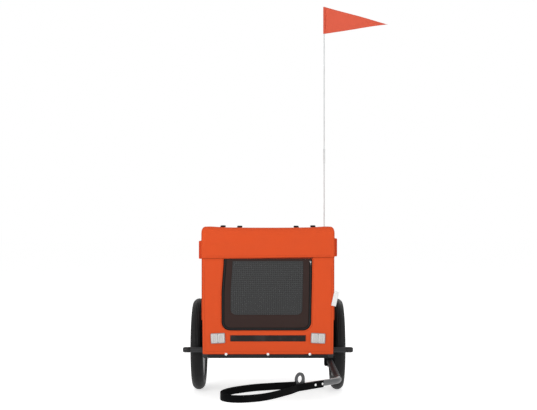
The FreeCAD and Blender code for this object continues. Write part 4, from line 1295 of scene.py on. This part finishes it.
def flag_point(s, t):
    x = 271 + 300.5 * s
    low, high = FLAG_FOOT + 46 * s, FLAG_HEAD - 82 * s
    wave = 7.0 * s * math.sin(2.2 * math.pi * s + 1.2 * t) + 2.0 * s * (t - 0.5)
    return x, FLAG_Y + wave, low + (high - low) * t


def flag_uv(s, t):
    return 0.3005 * s, 0.128 * (1 - s) * t


pennant = cloth("flag_pennant_cloth", 61, 19, flag_point, flag_uv, flag_cloth, "flag")
thicken(facing(pennant, (0, -1, 0)), 0.35, 0.0)
up_pole = line((268, FLAG_Y, FLAG_FOOT), (268, FLAG_Y, FLAG_HEAD), 14)
sleeve = strip("flag_sleeve", up_pole, circle(4.7, 14), flag_cloth, "flag", up=(0, 1, 0))
beside_pole = line((275.5, 356.2, 1641), (275.5, 356.2, 1758), 12)
flag_seam = stitches("flag_sleeve_seam", beside_pole, (0, -1, 0), thread_orange, 3.4, 1.8, 0.35,
                     "flag")
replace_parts(pennant, "flag_pennant")

# A plain white studio: floor, soft lights from above and both sides, and a level camera in front.
studio_floor = started(bpy.ops.mesh.primitive_plane_add, size=120, location=(0, 0, -0.001))
bpy.ops.object.transform_apply(location=True)
studio_floor.name = "studio_floor"


def seen_as_backdrop(n):
    """1 where the camera, a mirror or a lens looks straight at it, and 0 for the light it gives."""
    rays = n.add("ShaderNodeLightPath", {})
    seen = n.math("MAXIMUM", rays["Is Camera Ray"], rays["Is Glossy Ray"])
    return n.math("MAXIMUM", seen, rays["Is Transmission Ray"])


WORLD_LIGHT = 0.42
FLOOR_GLOW = 0.62
paper = material("studio_paper", (0.90, 0.90, 0.90), 0.9, Specular_IOR_Level=0.0)
n = Nodes(paper)
n.into("Roughness", n.span(n.noise(n.coordinates(), 3.0), 0.86, 0.94))
n.into("Emission Color", (1, 1, 1))
n.into("Emission Strength", n.math("MULTIPLY", seen_as_backdrop(n), FLOOR_GLOW))
studio_floor.data.materials.append(paper)

scene.world = bpy.data.worlds.new("studio_world")
scene.world.use_nodes = True
n = Nodes(scene.world, "Background")
n.into("Color", (1, 1, 1))
n.into("Strength", n.span(seen_as_backdrop(n), WORLD_LIGHT, 1.0))


def area_light(name, place, target, size, power):
    """A soft rectangular lamp that looks at a place."""
    lamp = bpy.data.lights.new(name, "AREA")
    lamp.shape = "RECTANGLE"
    lamp.size, lamp.size_y = size
    lamp.energy = power
    obj = bpy.data.objects.new(name, lamp)
    obj.location = place
    obj.rotation_euler = (Vector(target) - Vector(place)).to_track_quat("-Z", "Y").to_euler()
    scene.collection.objects.link(obj)


area_light("key_softbox", (-2.4, -4.2, 1.7), (0, 0, 0.45), (2.6, 2.2), 97)
area_light("fill_softbox", (3.0, -3.6, 1.2), (0, 0, 0.5), (2.4, 2.4), 52)
area_light("top_softbox", (0, -0.3, 4.2), (0, 0, 0.5), (3.2, 3.2), 20)
area_light("back_softbox", (0.5, 4.0, 3.0), (0, 0, 0.6), (3.0, 2.0), 52)

scene.view_settings.view_transform = "Standard"
camera = bpy.data.cameras.new("camera")
camera.sensor_width = 36
camera.lens = 68.3
camera.shift_x = 0.001
camera.shift_y = 0.0473
view = bpy.data.objects.new("camera", camera)
view.location = (0, -4.5, 0.70)
view.rotation_euler = (math.radians(90), 0, 0)
scene.collection.objects.link(view)
scene.camera = view
